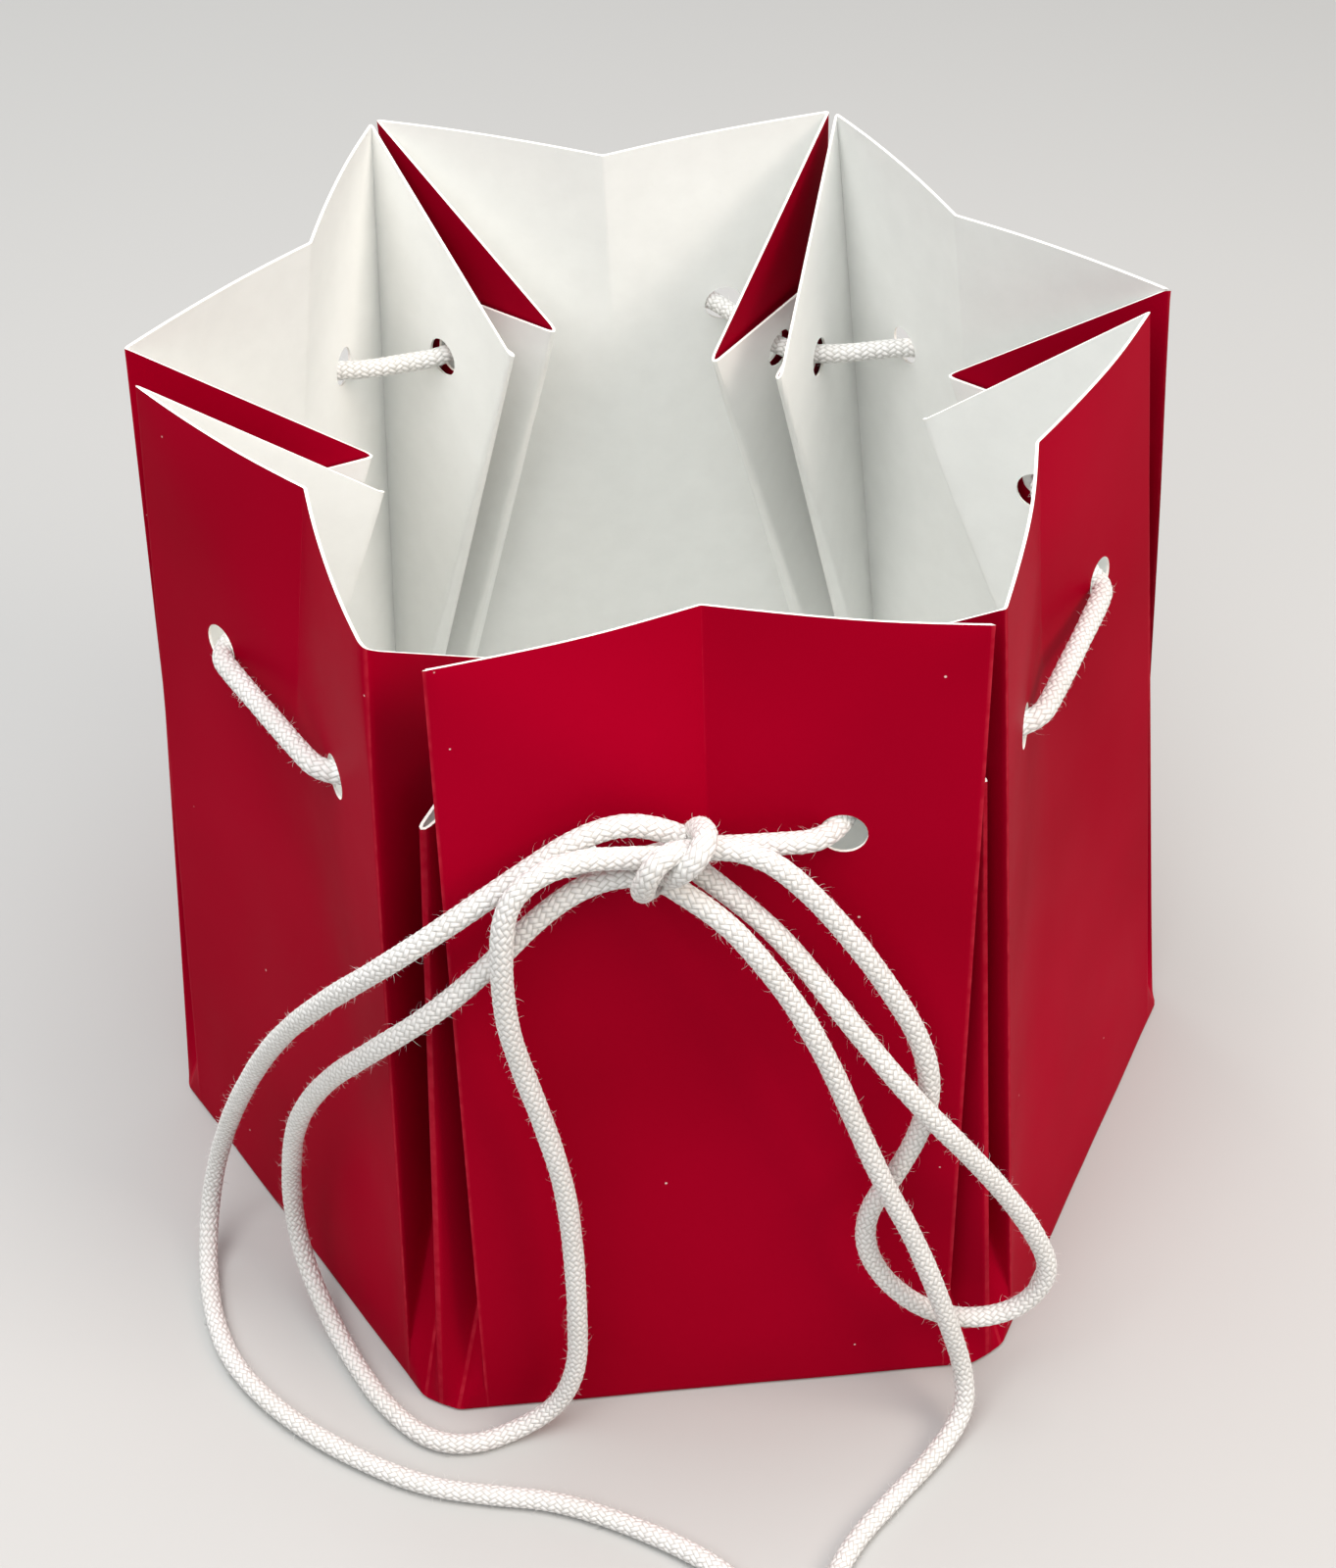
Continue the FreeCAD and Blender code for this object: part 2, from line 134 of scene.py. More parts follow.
RIGHT_LOOP = [
    (-0.005, -0.1125, 0.171), (0.003, -0.1136, 0.1732), (0.0126, -0.1145, 0.1700),
    (0.0204, -0.1152, 0.1613), (0.029, -0.116, 0.1482), (0.0368, -0.117, 0.1337),
    (0.0432, -0.1175, 0.1192), (0.046, -0.1175, 0.105), (0.0445, -0.1175, 0.092),
    (0.0395, -0.1175, 0.078), (0.0335, -0.117, 0.066), (0.033, -0.117, 0.053),
    (0.038, -0.118, 0.041), (0.047, -0.119, 0.031), (0.058, -0.119, 0.026),
    (0.069, -0.119, 0.029), (0.075, -0.1185, 0.040), (0.0705, -0.118, 0.054),
    (0.0615, -0.120, 0.073), (0.052, -0.122, 0.090), (0.0435, -0.123, 0.1035),
    (0.034, -0.1215, 0.119), (0.0252, -0.1187, 0.1336), (0.0166, -0.1155, 0.1472),
    (0.0079, -0.1127, 0.1570), (-0.001, -0.1113, 0.166),
]
RIGHT_TAIL = [
    (-0.0065, -0.1145, 0.1655), (0.0030, -0.1186, 0.1602), (0.0116, -0.1203, 0.1472),
    (0.0189, -0.121, 0.1327), (0.025, -0.122, 0.1165), (0.030, -0.123, 0.100),
    (0.036, -0.1235, 0.081), (0.042, -0.1235, 0.065), (0.047, -0.1245, 0.049),
    (0.0515, -0.125, 0.032), (0.055, -0.125, 0.017), (0.0555, -0.129, 0.006),
    (0.0475, -0.1375, 0.0025), (0.036, -0.148, 0.0023), (0.0265, -0.157, 0.0023),
    (0.019, -0.168, 0.0023), (0.018, -0.181, 0.0023), (0.022, -0.193, 0.0023),
]
# Out of the knot, in and out of the six corners' holes, and back into the knot.
LACING = [
    (-0.0040, -0.1072, 0.1670), (0.0140, -0.1090, 0.1680), (0.0255, -0.1098, 0.1684),
    (0.0334, -0.0945, 0.1662), (0.0415, -0.0863, 0.1650), (0.0502, -0.0840, 0.1647),
    (0.0638, -0.0794, 0.1655), (0.0722, -0.0774, 0.1669), (0.0761, -0.0706, 0.1665),
    (0.0837, -0.0560, 0.1657), (0.0913, -0.0413, 0.1649), (0.0946, -0.0342, 0.1645),
    (0.0925, -0.0265, 0.1636), (0.0890, -0.0049, 0.1630), (0.0873, 0.0039, 0.1636),
    (0.0926, 0.0183, 0.1653), (0.0967, 0.0247, 0.1659), (0.0934, 0.0319, 0.1657),
    (0.0847, 0.0455, 0.1653), (0.0760, 0.0592, 0.1649), (0.0705, 0.0658, 0.1647),
    (0.0460, 0.0670, 0.1627), (0.0352, 0.0739, 0.1628), (0.0232, 0.0943, 0.1650),
    (0.0148, 0.0960, 0.1652), (-0.0015, 0.0971, 0.1654), (-0.0178, 0.0983, 0.1657),
    (-0.0264, 0.0978, 0.1659), (-0.0356, 0.0838, 0.1649), (-0.0444, 0.0772, 0.1643),
    (-0.0533, 0.0759, 0.1641), (-0.0635, 0.0734, 0.1646), (-0.0723, 0.0720, 0.1660),
    (-0.0771, 0.0658, 0.1658), (-0.0849, 0.0522, 0.1656), (-0.0926, 0.0386, 0.1653),
    (-0.0960, 0.0306, 0.1651), (-0.0866, 0.0144, 0.1640), (-0.0844, -0.0010, 0.1633),
    (-0.0872, -0.0096, 0.1628), (-0.0913, -0.0254, 0.1634), (-0.0942, -0.0335, 0.1645),
    (-0.0909, -0.0405, 0.1649), (-0.0836, -0.0545, 0.1655), (-0.0763, -0.0685, 0.1662),
    (-0.0724, -0.0753, 0.1666), (-0.0637, -0.0769, 0.1653), (-0.0544, -0.0795, 0.1647),
    (-0.0455, -0.0810, 0.1650), (-0.0320, -0.0902, 0.1655), (-0.0268, -0.0993, 0.1655),
    (-0.0224, -0.1090, 0.1655), (-0.0175, -0.1100, 0.1658), (-0.0040, -0.1072, 0.1670),
]
# The knot's own turns: down over the left strands, round behind, and over again.
KNOT_TURNS = [
    (0.0000, -0.1142, 0.1714), (-0.0030, -0.1185, 0.1766), (-0.0060, -0.1205, 0.1783),
    (-0.0088, -0.1218, 0.1768), (-0.0104, -0.1215, 0.1729), (-0.0112, -0.1186, 0.1676),
    (-0.0103, -0.1122, 0.1616), (-0.0064, -0.1080, 0.1603), (-0.0022, -0.1072, 0.1670),
    (0.0002, -0.1092, 0.1742), (0.0013, -0.1150, 0.1785), (0.0011, -0.1197, 0.1799),
    (-0.0010, -0.1220, 0.1779), (-0.0036, -0.1212, 0.1741), (-0.0057, -0.1175, 0.1692),
    (-0.0068, -0.1117, 0.1661),
]


def cord_line(route):
    """The smooth line of a cord: a NURBS spline with the route's points as control points."""
    curve = bpy.data.curves.new("line", "CURVE")
    curve.dimensions = "3D"
    curve.resolution_u = 24
    spline = curve.splines.new("NURBS")
    spline.points.add(len(route) - 1)
    for point, place in zip(spline.points, route):
        point.co = (*place, 1)
    spline.order_u = 3
    spline.use_endpoint_u = True
    holder = bpy.data.objects.new("line", curve)
    mesh = bpy.data.meshes.new_from_object(holder)
    line = read(mesh.vertices, "co", 3)
    bpy.data.objects.remove(holder)
    bpy.data.curves.remove(curve)
    bpy.data.meshes.remove(mesh)
    return line


# The braid: ten yarns run round each way, over two and under two.
YARNS = 10
LAY = 0.0168               # one yarn's whole turn along the cord
ROUND = 40                 # corners of the mesh round the cord
STEP = 0.0004              # and its steps along it
GAP_RADIUS = 0.925         # the radius between yarns, as a share of the cord's
YARN_STAND = 0.085         # what a yarn's crown adds to it
KNOTTED_CORD = 0.0047      # squashed in the knot, the cord is a little wider
PLAIN_SPOT = 0.05          # where round the braid its ends and loose fibres take their colour
FIBRES_PER_MM = 2.8
FIBRE_REACH = (0.0007, 0.0020)
FIBRE_RADIUS = (0.000025, 0.00005)


def even_steps(line):
    """The line again, in even steps, and how far along it each one is."""
    runs = np.linalg.norm(np.diff(line, axis=0), axis=1)
    reached = np.concatenate([[0], np.cumsum(runs)])
    stops = np.linspace(0, reached[-1], max(int(round(reached[-1] / STEP)), 4) + 1)
    return np.stack([np.interp(stops, reached, line[:, k]) for k in range(3)], axis=1), stops


def frames_along(line):
    """The line's direction at each point, and two square to it, carried along without twist."""
    tangents = np.gradient(line, axis=0)
    tangents /= np.linalg.norm(tangents, axis=1)[:, None]
    side = np.cross(tangents[0], [0.3, 0.5, 0.8])
    sides = []
    for tangent in tangents:
        side = side - tangent * np.dot(side, tangent)
        side = side / np.linalg.norm(side)
        sides.append(side)
    sides = np.array(sides)
    return tangents, sides, np.cross(tangents, sides)


def braid_relief(along, around):
    """How high the braid stands at a place on the cord: 0 between yarns, 1 on the crown of
    the yarn on top, and 0.45 on it where it dives."""
    one, other = YARNS * (around + along / LAY), YARNS * (around - along / LAY)
    over = np.mod(np.floor(one) - np.floor(other), 4)
    one_on_top = over < 2
    across = np.where(one_on_top, one, other)
    across = across - np.floor(across)
    passing = np.where(
        one_on_top,
        (over + 1 - (other - np.floor(other))) / 2,
        (over - 2 + (one - np.floor(one))) / 2,
    )
    crown = np.sqrt(np.clip(1 - (2 * across - 1) ** 2, 0, 1))
    return crown * (0.45 + 0.55 * np.sin(np.pi * np.clip(passing, 0, 1)) ** 0.7)


def loose_fibres(line, length, frames, thickness, start):
    """Thin curved hairs that stand off the cord, each a closed three-sided spike of ten
    points. They are 0.05 to 0.1 mm wide at the foot, several times a real cotton fibre's
    0.02 mm, so that they show; each stands for a few fibres that cling together."""
    tangents, sides, lifts = frames
    hairs = int(length / MM * FIBRES_PER_MM)
    seat = random.integers(6, len(line) - 6, hairs)
    turn = random.random(hairs) * 2 * np.pi
    normal = np.cos(turn)[:, None] * sides[seat] + np.sin(turn)[:, None] * lifts[seat]
    tangent = tangents[seat] * random.choice([-1, 1], hairs)[:, None]
    swing = np.cross(tangents[seat], normal) * random.uniform(-0.9, 0.9, hairs)[:, None]
    reach = random.uniform(*FIBRE_REACH, hairs)[:, None] * random.uniform(0.5, 1, hairs)[:, None]
    lean = random.uniform(0.3, 1.6, hairs)[:, None]
    radius = random.uniform(*FIBRE_RADIUS, hairs)[:, None]
    foot = line[seat] + normal * thickness * 0.46
    spine = [
        foot + normal * reach * rise + (tangent * lean + swing) * reach * slide
        for rise, slide in ((0, 0), (0.5, 0.25), (0.85, 0.7), (1.0, 1.25))
    ]
    binormal = np.cross(normal, tangent)
    points = []
    for place, share in zip(spine[:3], (1, 0.8, 0.55)):
        for angle in (0, 2 * math.pi / 3, 4 * math.pi / 3):
            out = tangent * math.cos(angle) + binormal * math.sin(angle)
            points.append(place + out * radius * share)
    points.append(spine[3])
    points = np.stack(points, axis=1).reshape(-1, 3)
    points[:, 2] = np.maximum(points[:, 2], 0.0002)

    spike = [(2, 1, 0)]
    for level in (0, 3):
        for a, b in ((level, level + 1), (level + 1, level + 2), (level + 2, level)):
            spike.append((a, b, b + 3, a + 3))
    spike += [(6, 7, 9), (7, 8, 9), (8, 6, 9)]
    faces = [tuple(start + hair * 10 + i for i in face) for hair in range(hairs) for face in spike]
    return points, faces, hairs * sum(len(face) for face in spike)


def braided_cord(name, route, thickness=CORD, first=False, last=False):
    """A braided cord along a route, with loose fibres; its first and last end can be
    rounded off. With it come its line and its length."""
    line, along = even_steps(cord_line(route))
    frames = frames_along(line)
    _, sides, lifts = frames
    around = np.arange(ROUND) / ROUND
    relief = braid_relief(along[:, None], around[None, :])
    # It swells and thins by a hundredth, over about 20 and 44 mm.
    plump = 1 + 0.012 * np.sin(along * 310) + 0.010 * np.sin(along * 143 + 1)
    radius = thickness / 2 * plump[:, None] * (GAP_RADIUS + YARN_STAND * relief)
    for rounded, from_end in ((first, along), (last, along[-1] - along)):
        if rounded:
            near = np.clip(from_end / (thickness * 0.45), 0, 1)
            radius = radius * np.sqrt(np.clip(1 - (1 - near) ** 2, 0.02, 1))[:, None]
    angle = 2 * np.pi * around
    out = (
        np.cos(angle)[None, :, None] * sides[:, None, :]
        + np.sin(angle)[None, :, None] * lifts[:, None, :]
    )
    skin = line[:, None, :] + out * radius[:, :, None]

    # Rows of four-sided faces, and at each end a fan to the line's own end.
    count = len(line)
    ring = np.arange(ROUND)
    following = (ring + 1) % ROUND
    rows = np.arange(count - 1)[:, None] * ROUND
    faces = np.stack(
        [rows + ring, rows + following, rows + ROUND + following, rows + ROUND + ring], axis=-1
    ).reshape(-1, 4).tolist()
    end, middle = (count - 1) * ROUND, count * ROUND
    pairs = list(zip(ring.tolist(), following.tolist()))
    faces += [(b, a, middle) for a, b in pairs]
    faces += [(a + end, b + end, middle + 1) for a, b in pairs]

    # The map counts the yarns' turns along the cord and runs once round it.
    u = np.broadcast_to((along / LAY)[:, None], (count, ROUND))
    v = np.broadcast_to(around[None, :], (count - 1, ROUND))
    corners = ((u[:-1], v), (u[:-1], v + 1 / ROUND), (u[1:], v + 1 / ROUND), (u[1:], v))
    braid = np.stack([np.stack(corner, -1) for corner in corners], axis=2).reshape(-1, 2)
    ends = np.full((ROUND * 6, 2), PLAIN_SPOT)
    ends[: ROUND * 3, 0] = 0
    ends[ROUND * 3 :, 0] = along[-1] / LAY

    hairs, hair_faces, hair_corners = loose_fibres(line, along[-1], frames, thickness, middle + 2)
    loose = np.zeros((hair_corners, 2))
    loose[:, 1] = PLAIN_SPOT
    mesh = bpy.data.meshes.new(name)
    mesh.from_pydata(
        np.concatenate([skin.reshape(-1, 3), line[:1], line[-1:], hairs]), [], faces + hair_faces
    )
    uv = np.concatenate([braid, ends, loose])
    mesh.uv_layers.new(name="braid").data.foreach_set("uv", uv.ravel())
    mesh.shade_smooth()
    return new_object(name, mesh), line, along[-1]


cords = []
for name, node, route, bare in (
    ("left_tail_cord", "left_tail", LEFT_TAIL, True),
    ("left_loop_cord", "left_loop", LEFT_LOOP, False),
    ("right_loop_cord", "right_loop", RIGHT_LOOP, False),
    ("right_tail_cord", "right_tail", RIGHT_TAIL, True),
    ("lacing_cord", "laced_cord", LACING, False),
):
    piece, line, length = braided_cord(name, route, last=bare)
    cords.append(piece)
    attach(piece, "root")
    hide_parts(node)

knot, _, _ = braided_cord("knot_turns", KNOT_TURNS, KNOTTED_CORD, first=True, last=True)
cords.append(knot)
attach(knot, "root")
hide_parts("bow_knot")


# ---- materials -----------------------------------------------------------------------
def add_node(material, kind, inputs, **settings):
    """A shader node with its settings. An input is a number, a colour, another node's
    output, or the node itself, which stands for its result."""
    node = material.node_tree.nodes.new("ShaderNode" + kind)
    for setting, value in settings.items():
        setattr(node, setting, value)
    for socket, value in inputs.items():
        if isinstance(value, bpy.types.Node):
            value = value.outputs[2 if getattr(value, "data_type", "") == "RGBA" else 0]
        if isinstance(value, bpy.types.NodeSocket):
            material.node_tree.links.new(value, node.inputs[socket])
        else:
            node.inputs[socket].default_value = value
    return node


def blank_material(name):
    material = bpy.data.materials.new(name)
    material.use_nodes = True
    material.node_tree.nodes.clear()
    return material


def sprung_waves(m, place):
    """Long shallow waves where the sheet is sprung, 60 mm apart and 0.04 mm deep."""
    waves = add_node(m, "TexNoise", {"Vector": place, "Scale": 1 / (60 * MM), "Detail": 0.0})
    return add_node(m, "Math", {0: waves, 1: 0.04 * MM}, operation="MULTIPLY")


def filmed_red_board():
    """Folding boxboard printed solid red and covered with clear plastic film. The film
    gives an even, soft gloss and long shallow waves where the sheet is sprung; folds are
    worn a little paler, partly as a painted highlight along each crease, and white dust clings here and
    there."""
    m = blank_material("filmed_red_board")
    place = add_node(m, "TexCoord", {}).outputs["Object"]

    # The solid ink drifts slightly in depth over about 90 mm.
    drift = add_node(m, "TexNoise", {"Vector": place, "Scale": 1 / (90 * MM), "Detail": 2.0})
    depth = add_node(m, "MapRange", {"Value": drift, "From Min": 0.35, "From Max": 0.65})
    ink = add_node(m, "Mix", {0: depth, 6: srgb("#98001D"), 7: srgb("#A50023")}, data_type="RGBA")

    # Folds worn paler, partly as a painted highlight along the crease, broken up over about 3 mm.
    fold = add_node(m, "Attribute", {}, attribute_name="fold").outputs["Fac"]
    at_fold = add_node(m, "MapRange", {"Value": fold, "From Min": 0.45, "From Max": 1.0})
    broken = add_node(m, "TexNoise", {"Vector": place, "Scale": 1 / (3 * MM), "Detail": 3.0})
    patchy = add_node(
        m, "MapRange",
        {"Value": broken, "From Min": 0.35, "From Max": 0.7, "To Min": 0.12, "To Max": 0.5},
    )
    rub_and_highlight = add_node(m, "Math", {0: at_fold, 1: patchy}, operation="MULTIPLY")
    rubbed_and_highlit = add_node(m, "Mix", {0: rub_and_highlight, 6: ink, 7: srgb("#D4404E")}, data_type="RGBA")

    # Dust: specks half a millimetre across, one to a 14 mm cell where the card cuts it.
    cells = add_node(m, "TexVoronoi", {"Vector": place, "Scale": 1 / (14 * MM)})
    speck = add_node(
        m, "MapRange",
        {"Value": cells, "From Min": 0.016, "From Max": 0.024, "To Min": 0.85, "To Max": 0.0},
    )
    dusty = add_node(m, "Mix", {0: speck, 6: rubbed_and_highlit, 7: srgb("#F0D8D2")}, data_type="RGBA")

    # Film: fingered and handled patches of about 30 mm change the gloss a little, and
    # rubbed folds are duller.
    handled = add_node(m, "TexNoise", {"Vector": place, "Scale": 1 / (30 * MM), "Detail": 4.0})
    gloss = add_node(
        m, "MapRange",
        {"Value": handled, "From Min": 0.3, "From Max": 0.7, "To Min": 0.42, "To Max": 0.48},
    )
    dull = add_node(m, "Math", {0: rub_and_highlight, 1: 0.3, 2: gloss}, operation="MULTIPLY_ADD")

    bump = add_node(m, "Bump", {"Height": sprung_waves(m, place), "Strength": 1.0, "Distance": 1.0})
    surface = add_node(
        m, "BsdfPrincipled",
        {
            "Base Color": dusty, "Roughness": dull, "Normal": bump,
            "IOR": 1.5, "Specular IOR Level": 0.007,
        },
    )
    add_node(m, "OutputMaterial", {"Surface": surface})
    return m


def uncoated_white_back():
    """The bare back of folding boxboard: bleached pulp, matt, faintly clouded by the
    fibres, with a fine tooth and the same long waves as the face."""
    m = blank_material("uncoated_white_back")
    place = add_node(m, "TexCoord", {}).outputs["Object"]

    # Pulp clouds about 8 mm across, in two near whites. Over them are fibres 1.2 mm
    # across, many times a real one's 0.03 mm, which is too fine to show.
    clouds = add_node(
        m, "TexNoise", {"Vector": place, "Scale": 1 / (8 * MM), "Detail": 5.0, "Roughness": 0.6}
    )
    share = add_node(m, "MapRange", {"Value": clouds, "From Min": 0.35, "From Max": 0.65})
    pulp = add_node(m, "Mix", {0: share, 6: srgb("#F2F3F0"), 7: srgb("#F5F6F3")}, data_type="RGBA")
    fibre = add_node(
        m, "TexNoise",
        {"Vector": place, "Scale": 1 / (1.2 * MM), "Detail": 4.0, "Roughness": 0.7, "Distortion": 1.5},
    )
    seen = add_node(m, "MapRange", {"Value": fibre, "From Min": 0.55, "From Max": 0.85, "To Max": 0.12})
    white = add_node(m, "Mix", {0: seen, 6: pulp, 7: srgb("#DFDCD2")}, data_type="RGBA")

    # Along a fold the board is painted a little greyer: painted shade in the crease.
    fold = add_node(m, "Attribute", {}, attribute_name="fold").outputs["Fac"]
    crease_shade = add_node(m, "MapRange", {"Value": fold, "From Min": 0.3, "From Max": 1.0, "To Max": 0.14})
    crease_shaded = add_node(m, "Mix", {0: crease_shade, 6: white, 7: srgb("#D2CFC6")}, data_type="RGBA")

    # Tooth 1.2 mm apart and 0.008 mm deep, on the face's waves.
    low = sprung_waves(m, place)
    height = add_node(m, "Math", {0: fibre, 1: 0.008 * MM, 2: low}, operation="MULTIPLY_ADD")
    bump = add_node(m, "Bump", {"Height": height, "Strength": 1.0, "Distance": 1.0})
    rough = add_node(
        m, "MapRange",
        {"Value": clouds, "From Min": 0.3, "From Max": 0.7, "To Min": 0.62, "To Max": 0.74},
    )
    surface = add_node(
        m, "BsdfPrincipled",
        {
            "Base Color": crease_shaded, "Roughness": rough, "Normal": bump,
            "IOR": 1.45, "Specular IOR Level": 0.35,
        },
    )
    add_node(m, "OutputMaterial", {"Surface": surface})
    return m


def sheared_board_edge():
    """Boxboard cut through by a steel rule: bright pulp, torn slightly by the blade."""
    m = blank_material("sheared_board_edge")
    place = add_node(m, "TexCoord", {}).outputs["Object"]

    # Tufts of torn fibre about 0.7 mm long and 0.05 mm deep.
    torn = add_node(
        m, "TexNoise", {"Vector": place, "Scale": 1 / (0.7 * MM), "Detail": 4.0, "Roughness": 0.7}
    )
    share = add_node(m, "MapRange", {"Value": torn, "From Min": 0.3, "From Max": 0.7})
    pulp = add_node(m, "Mix", {0: share, 6: srgb("#EAE4DA"), 7: srgb("#FFFEFB")}, data_type="RGBA")
    height = add_node(m, "Math", {0: torn, 1: 0.05 * MM}, operation="MULTIPLY")
    bump = add_node(m, "Bump", {"Height": height, "Strength": 0.8, "Distance": 1.0})
    surface = add_node(
        m, "BsdfPrincipled", {"Base Color": pulp, "Roughness": 0.85, "Normal": bump, "IOR": 1.45}
    )
    add_node(m, "OutputMaterial", {"Surface": surface})
    return m


def braided_cotton():
    """Natural cotton yarn braided two over, two under: dull off-white, spun fibres along
    each yarn, and shade where a yarn dives under its neighbours."""
    m = blank_material("braided_cotton")
    uv = add_node(m, "UVMap", {}, uv_map="braid")
    split = add_node(m, "SeparateXYZ", {"Vector": uv})
    along, around = split.outputs["X"], split.outputs["Y"]

    # The yarns that turn one way and those that turn the other, counted round the cord.
    ahead = add_node(m, "Math", {0: around, 1: along}, operation="ADD")
    astern = add_node(m, "Math", {0: around, 1: along}, operation="SUBTRACT")
    one = add_node(m, "Math", {0: ahead, 1: float(YARNS)}, operation="MULTIPLY")
    other = add_node(m, "Math", {0: astern, 1: float(YARNS)}, operation="MULTIPLY")
    one_number = add_node(m, "Math", {0: one}, operation="FLOOR")
    other_number = add_node(m, "Math", {0: other}, operation="FLOOR")
    step = add_node(m, "Math", {0: one_number, 1: other_number}, operation="SUBTRACT")
    over = add_node(m, "Math", {0: step, 1: 4.0}, operation="FLOORED_MODULO")
    one_on_top = add_node(m, "Math", {0: over, 1: 1.5}, operation="LESS_THAN")
    one_part = add_node(m, "Math", {0: one}, operation="FRACT")
    other_part = add_node(m, "Math", {0: other}, operation="FRACT")

    # Across the yarn on top: 0 at its edges, 1 on its crown.
    across = add_node(m, "Mix", {0: one_on_top, 2: other_part, 3: one_part})
    side = add_node(m, "Math", {0: across, 1: 2.0, 2: -1.0}, operation="MULTIPLY_ADD")
    squared = add_node(m, "Math", {0: side, 1: side}, operation="MULTIPLY")
    left = add_node(m, "Math", {0: 1.0, 1: squared}, operation="SUBTRACT")
    crown = add_node(m, "Math", {0: left, 1: 0.5}, operation="POWER")

    # Along the yarn on top: 0 where it dives, 1 at the middle of its float.
    one_left = add_node(m, "Math", {0: over, 1: other_part}, operation="SUBTRACT")
    one_passed = add_node(m, "Math", {0: one_left, 1: 1.0}, operation="ADD")
    other_left = add_node(m, "Math", {0: over, 1: one_part}, operation="ADD")
    other_passed = add_node(m, "Math", {0: other_left, 1: 2.0}, operation="SUBTRACT")
    passed = add_node(m, "Mix", {0: one_on_top, 2: other_passed, 3: one_passed})
    half_turn = add_node(m, "Math", {0: passed, 1: math.pi / 2}, operation="MULTIPLY")
    float_rise = add_node(m, "Math", {0: half_turn}, operation="SINE")
    high = add_node(m, "Math", {0: crown, 1: float_rise}, operation="MULTIPLY")

    # Spun fibres run along the yarn on top, seven to its width; drawn as bundles,
    # because a single fibre of 0.02 mm is too fine to show.
    across_yarns = add_node(m, "Mix", {0: one_on_top, 2: other, 3: one})
    along_yarn = add_node(m, "Mix", {0: one_on_top, 2: one, 3: other})
    strands = add_node(m, "Math", {0: across_yarns, 1: 7.0}, operation="MULTIPLY")
    spun = add_node(m, "CombineXYZ", {"X": strands, "Y": along_yarn, "Z": over})
    fibres = add_node(m, "TexNoise", {"Vector": spun, "Scale": 1.0, "Detail": 3.0, "Roughness": 0.65})

    # Two natural whites over about 15 mm, greyer along the fibres, and painted shade between yarns where
    # a yarn dives.
    place = add_node(m, "TexCoord", {}).outputs["Object"]
    uneven = add_node(m, "TexNoise", {"Vector": place, "Scale": 1 / (15 * MM), "Detail": 2.0})
    share = add_node(m, "MapRange", {"Value": uneven, "From Min": 0.35, "From Max": 0.65})
    cotton = add_node(m, "Mix", {0: share, 6: srgb("#E8E7E4"), 7: srgb("#EFEEEC")}, data_type="RGBA")
    streak = add_node(m, "MapRange", {"Value": fibres, "From Min": 0.4, "From Max": 0.75, "To Max": 0.3})
    streaked = add_node(m, "Mix", {0: streak, 6: cotton, 7: srgb("#C8C2B6")}, data_type="RGBA")
    gap = add_node(
        m, "MapRange",
        {"Value": high, "From Min": 0.0, "From Max": 0.5, "To Min": 0.50, "To Max": 0.0},
    )
    shaded = add_node(m, "Mix", {0: gap, 6: streaked, 7: srgb("#989286")}, data_type="RGBA")

    # Each yarn stands 0.25 mm proud of the gap beside it, and its fibres 0.06 mm.
    body = add_node(m, "Math", {0: high, 1: 0.25 * MM}, operation="MULTIPLY")
    height = add_node(m, "Math", {0: fibres, 1: 0.06 * MM, 2: body}, operation="MULTIPLY_ADD")
    bump = add_node(m, "Bump", {"Height": height, "Strength": 1.0, "Distance": 1.0})
    surface = add_node(
        m, "BsdfPrincipled",
        {
            "Base Color": shaded, "Roughness": 0.9, "Normal": bump,
            "IOR": 1.45, "Specular IOR Level": 0.25, "Sheen Weight": 0.2, "Sheen Roughness": 0.5,
        },
    )
    add_node(m, "OutputMaterial", {"Surface": surface})
    return m


def plain_paper_floor():
    """A sweep of plain pale paper."""
    m = blank_material("plain_paper_floor")
    surface = add_node(m, "BsdfPrincipled", {"Base Color": srgb("#B8B8B6"), "Roughness": 0.8})
    add_node(m, "OutputMaterial", {"Surface": surface})
    return m


cotton_yarn = braided_cotton()
for piece in cords:
    piece.data.materials.append(cotton_yarn)


# ---- the card: sizes of the blank and how the opened box stands, in millimetres ------
CARD = 0.6
BASE_SIDE, CORNER_CUT, EAR_WIDTH, EAR_HEIGHT = 130.0, 5.0, 11.7, 14.0
SIDE_CREASE, FIN_WIDTH, PLEAT_WIDTH = 217.0, 64.3, 50.5
RIM_FLARE, VALLEY_FALL, RIDGE_FALL = 1.4, 29.0, 41.2
RIM_WIDTH = BASE_SIDE - 2 * EAR_WIDTH + RIM_FLARE
VALLEY_LENGTH, RIDGE_LENGTH = SIDE_CREASE - VALLEY_FALL, SIDE_CREASE - RIDGE_FALL
FOLD_NOSE = 2 * CARD
HOLE_DIAMETER, HOLE_INSET, HOLE_DROP = 9.5, 26.0, 51.0
WAIST_PINCH = 9.0
# For each wall: sway right, lean in, right end further out, rim pinched in, rim dipped.
WALLS = {
    "front": (3.6, 3.3, 0.0, 17.5, 3.8),
    "front_right": (-8.6, 13.8, -6.4, 9.0, 0.3),
    "back_right": (-3.8, 20.5, -6.2, 11.3, 0.3),
    "back": (1.9, 19.2, 10.0, 8.5, 5.7),
    "back_left": (-3.6, 15.9, -0.8, 14.1, 0.3),
    "front_left": (7.0, 14.8, 6.4, 13.3, 0.4),
}
# For each corner: how far its two inward creases reach sideways at the rim.
CORNERS = {
    "front_right": (-27.8, -16.5),
    "right": (18.1, 31.8),
    "back_right": (-7.6, 9.2),
    "back_left": (-17.3, -4.2),
    "left": (-20.9, -7.4),
    "front_left": (5.4, 21.5),
}
UP = np.array([0.0, 0.0, 1.0])


def unit(vector):
    return vector / np.linalg.norm(vector)


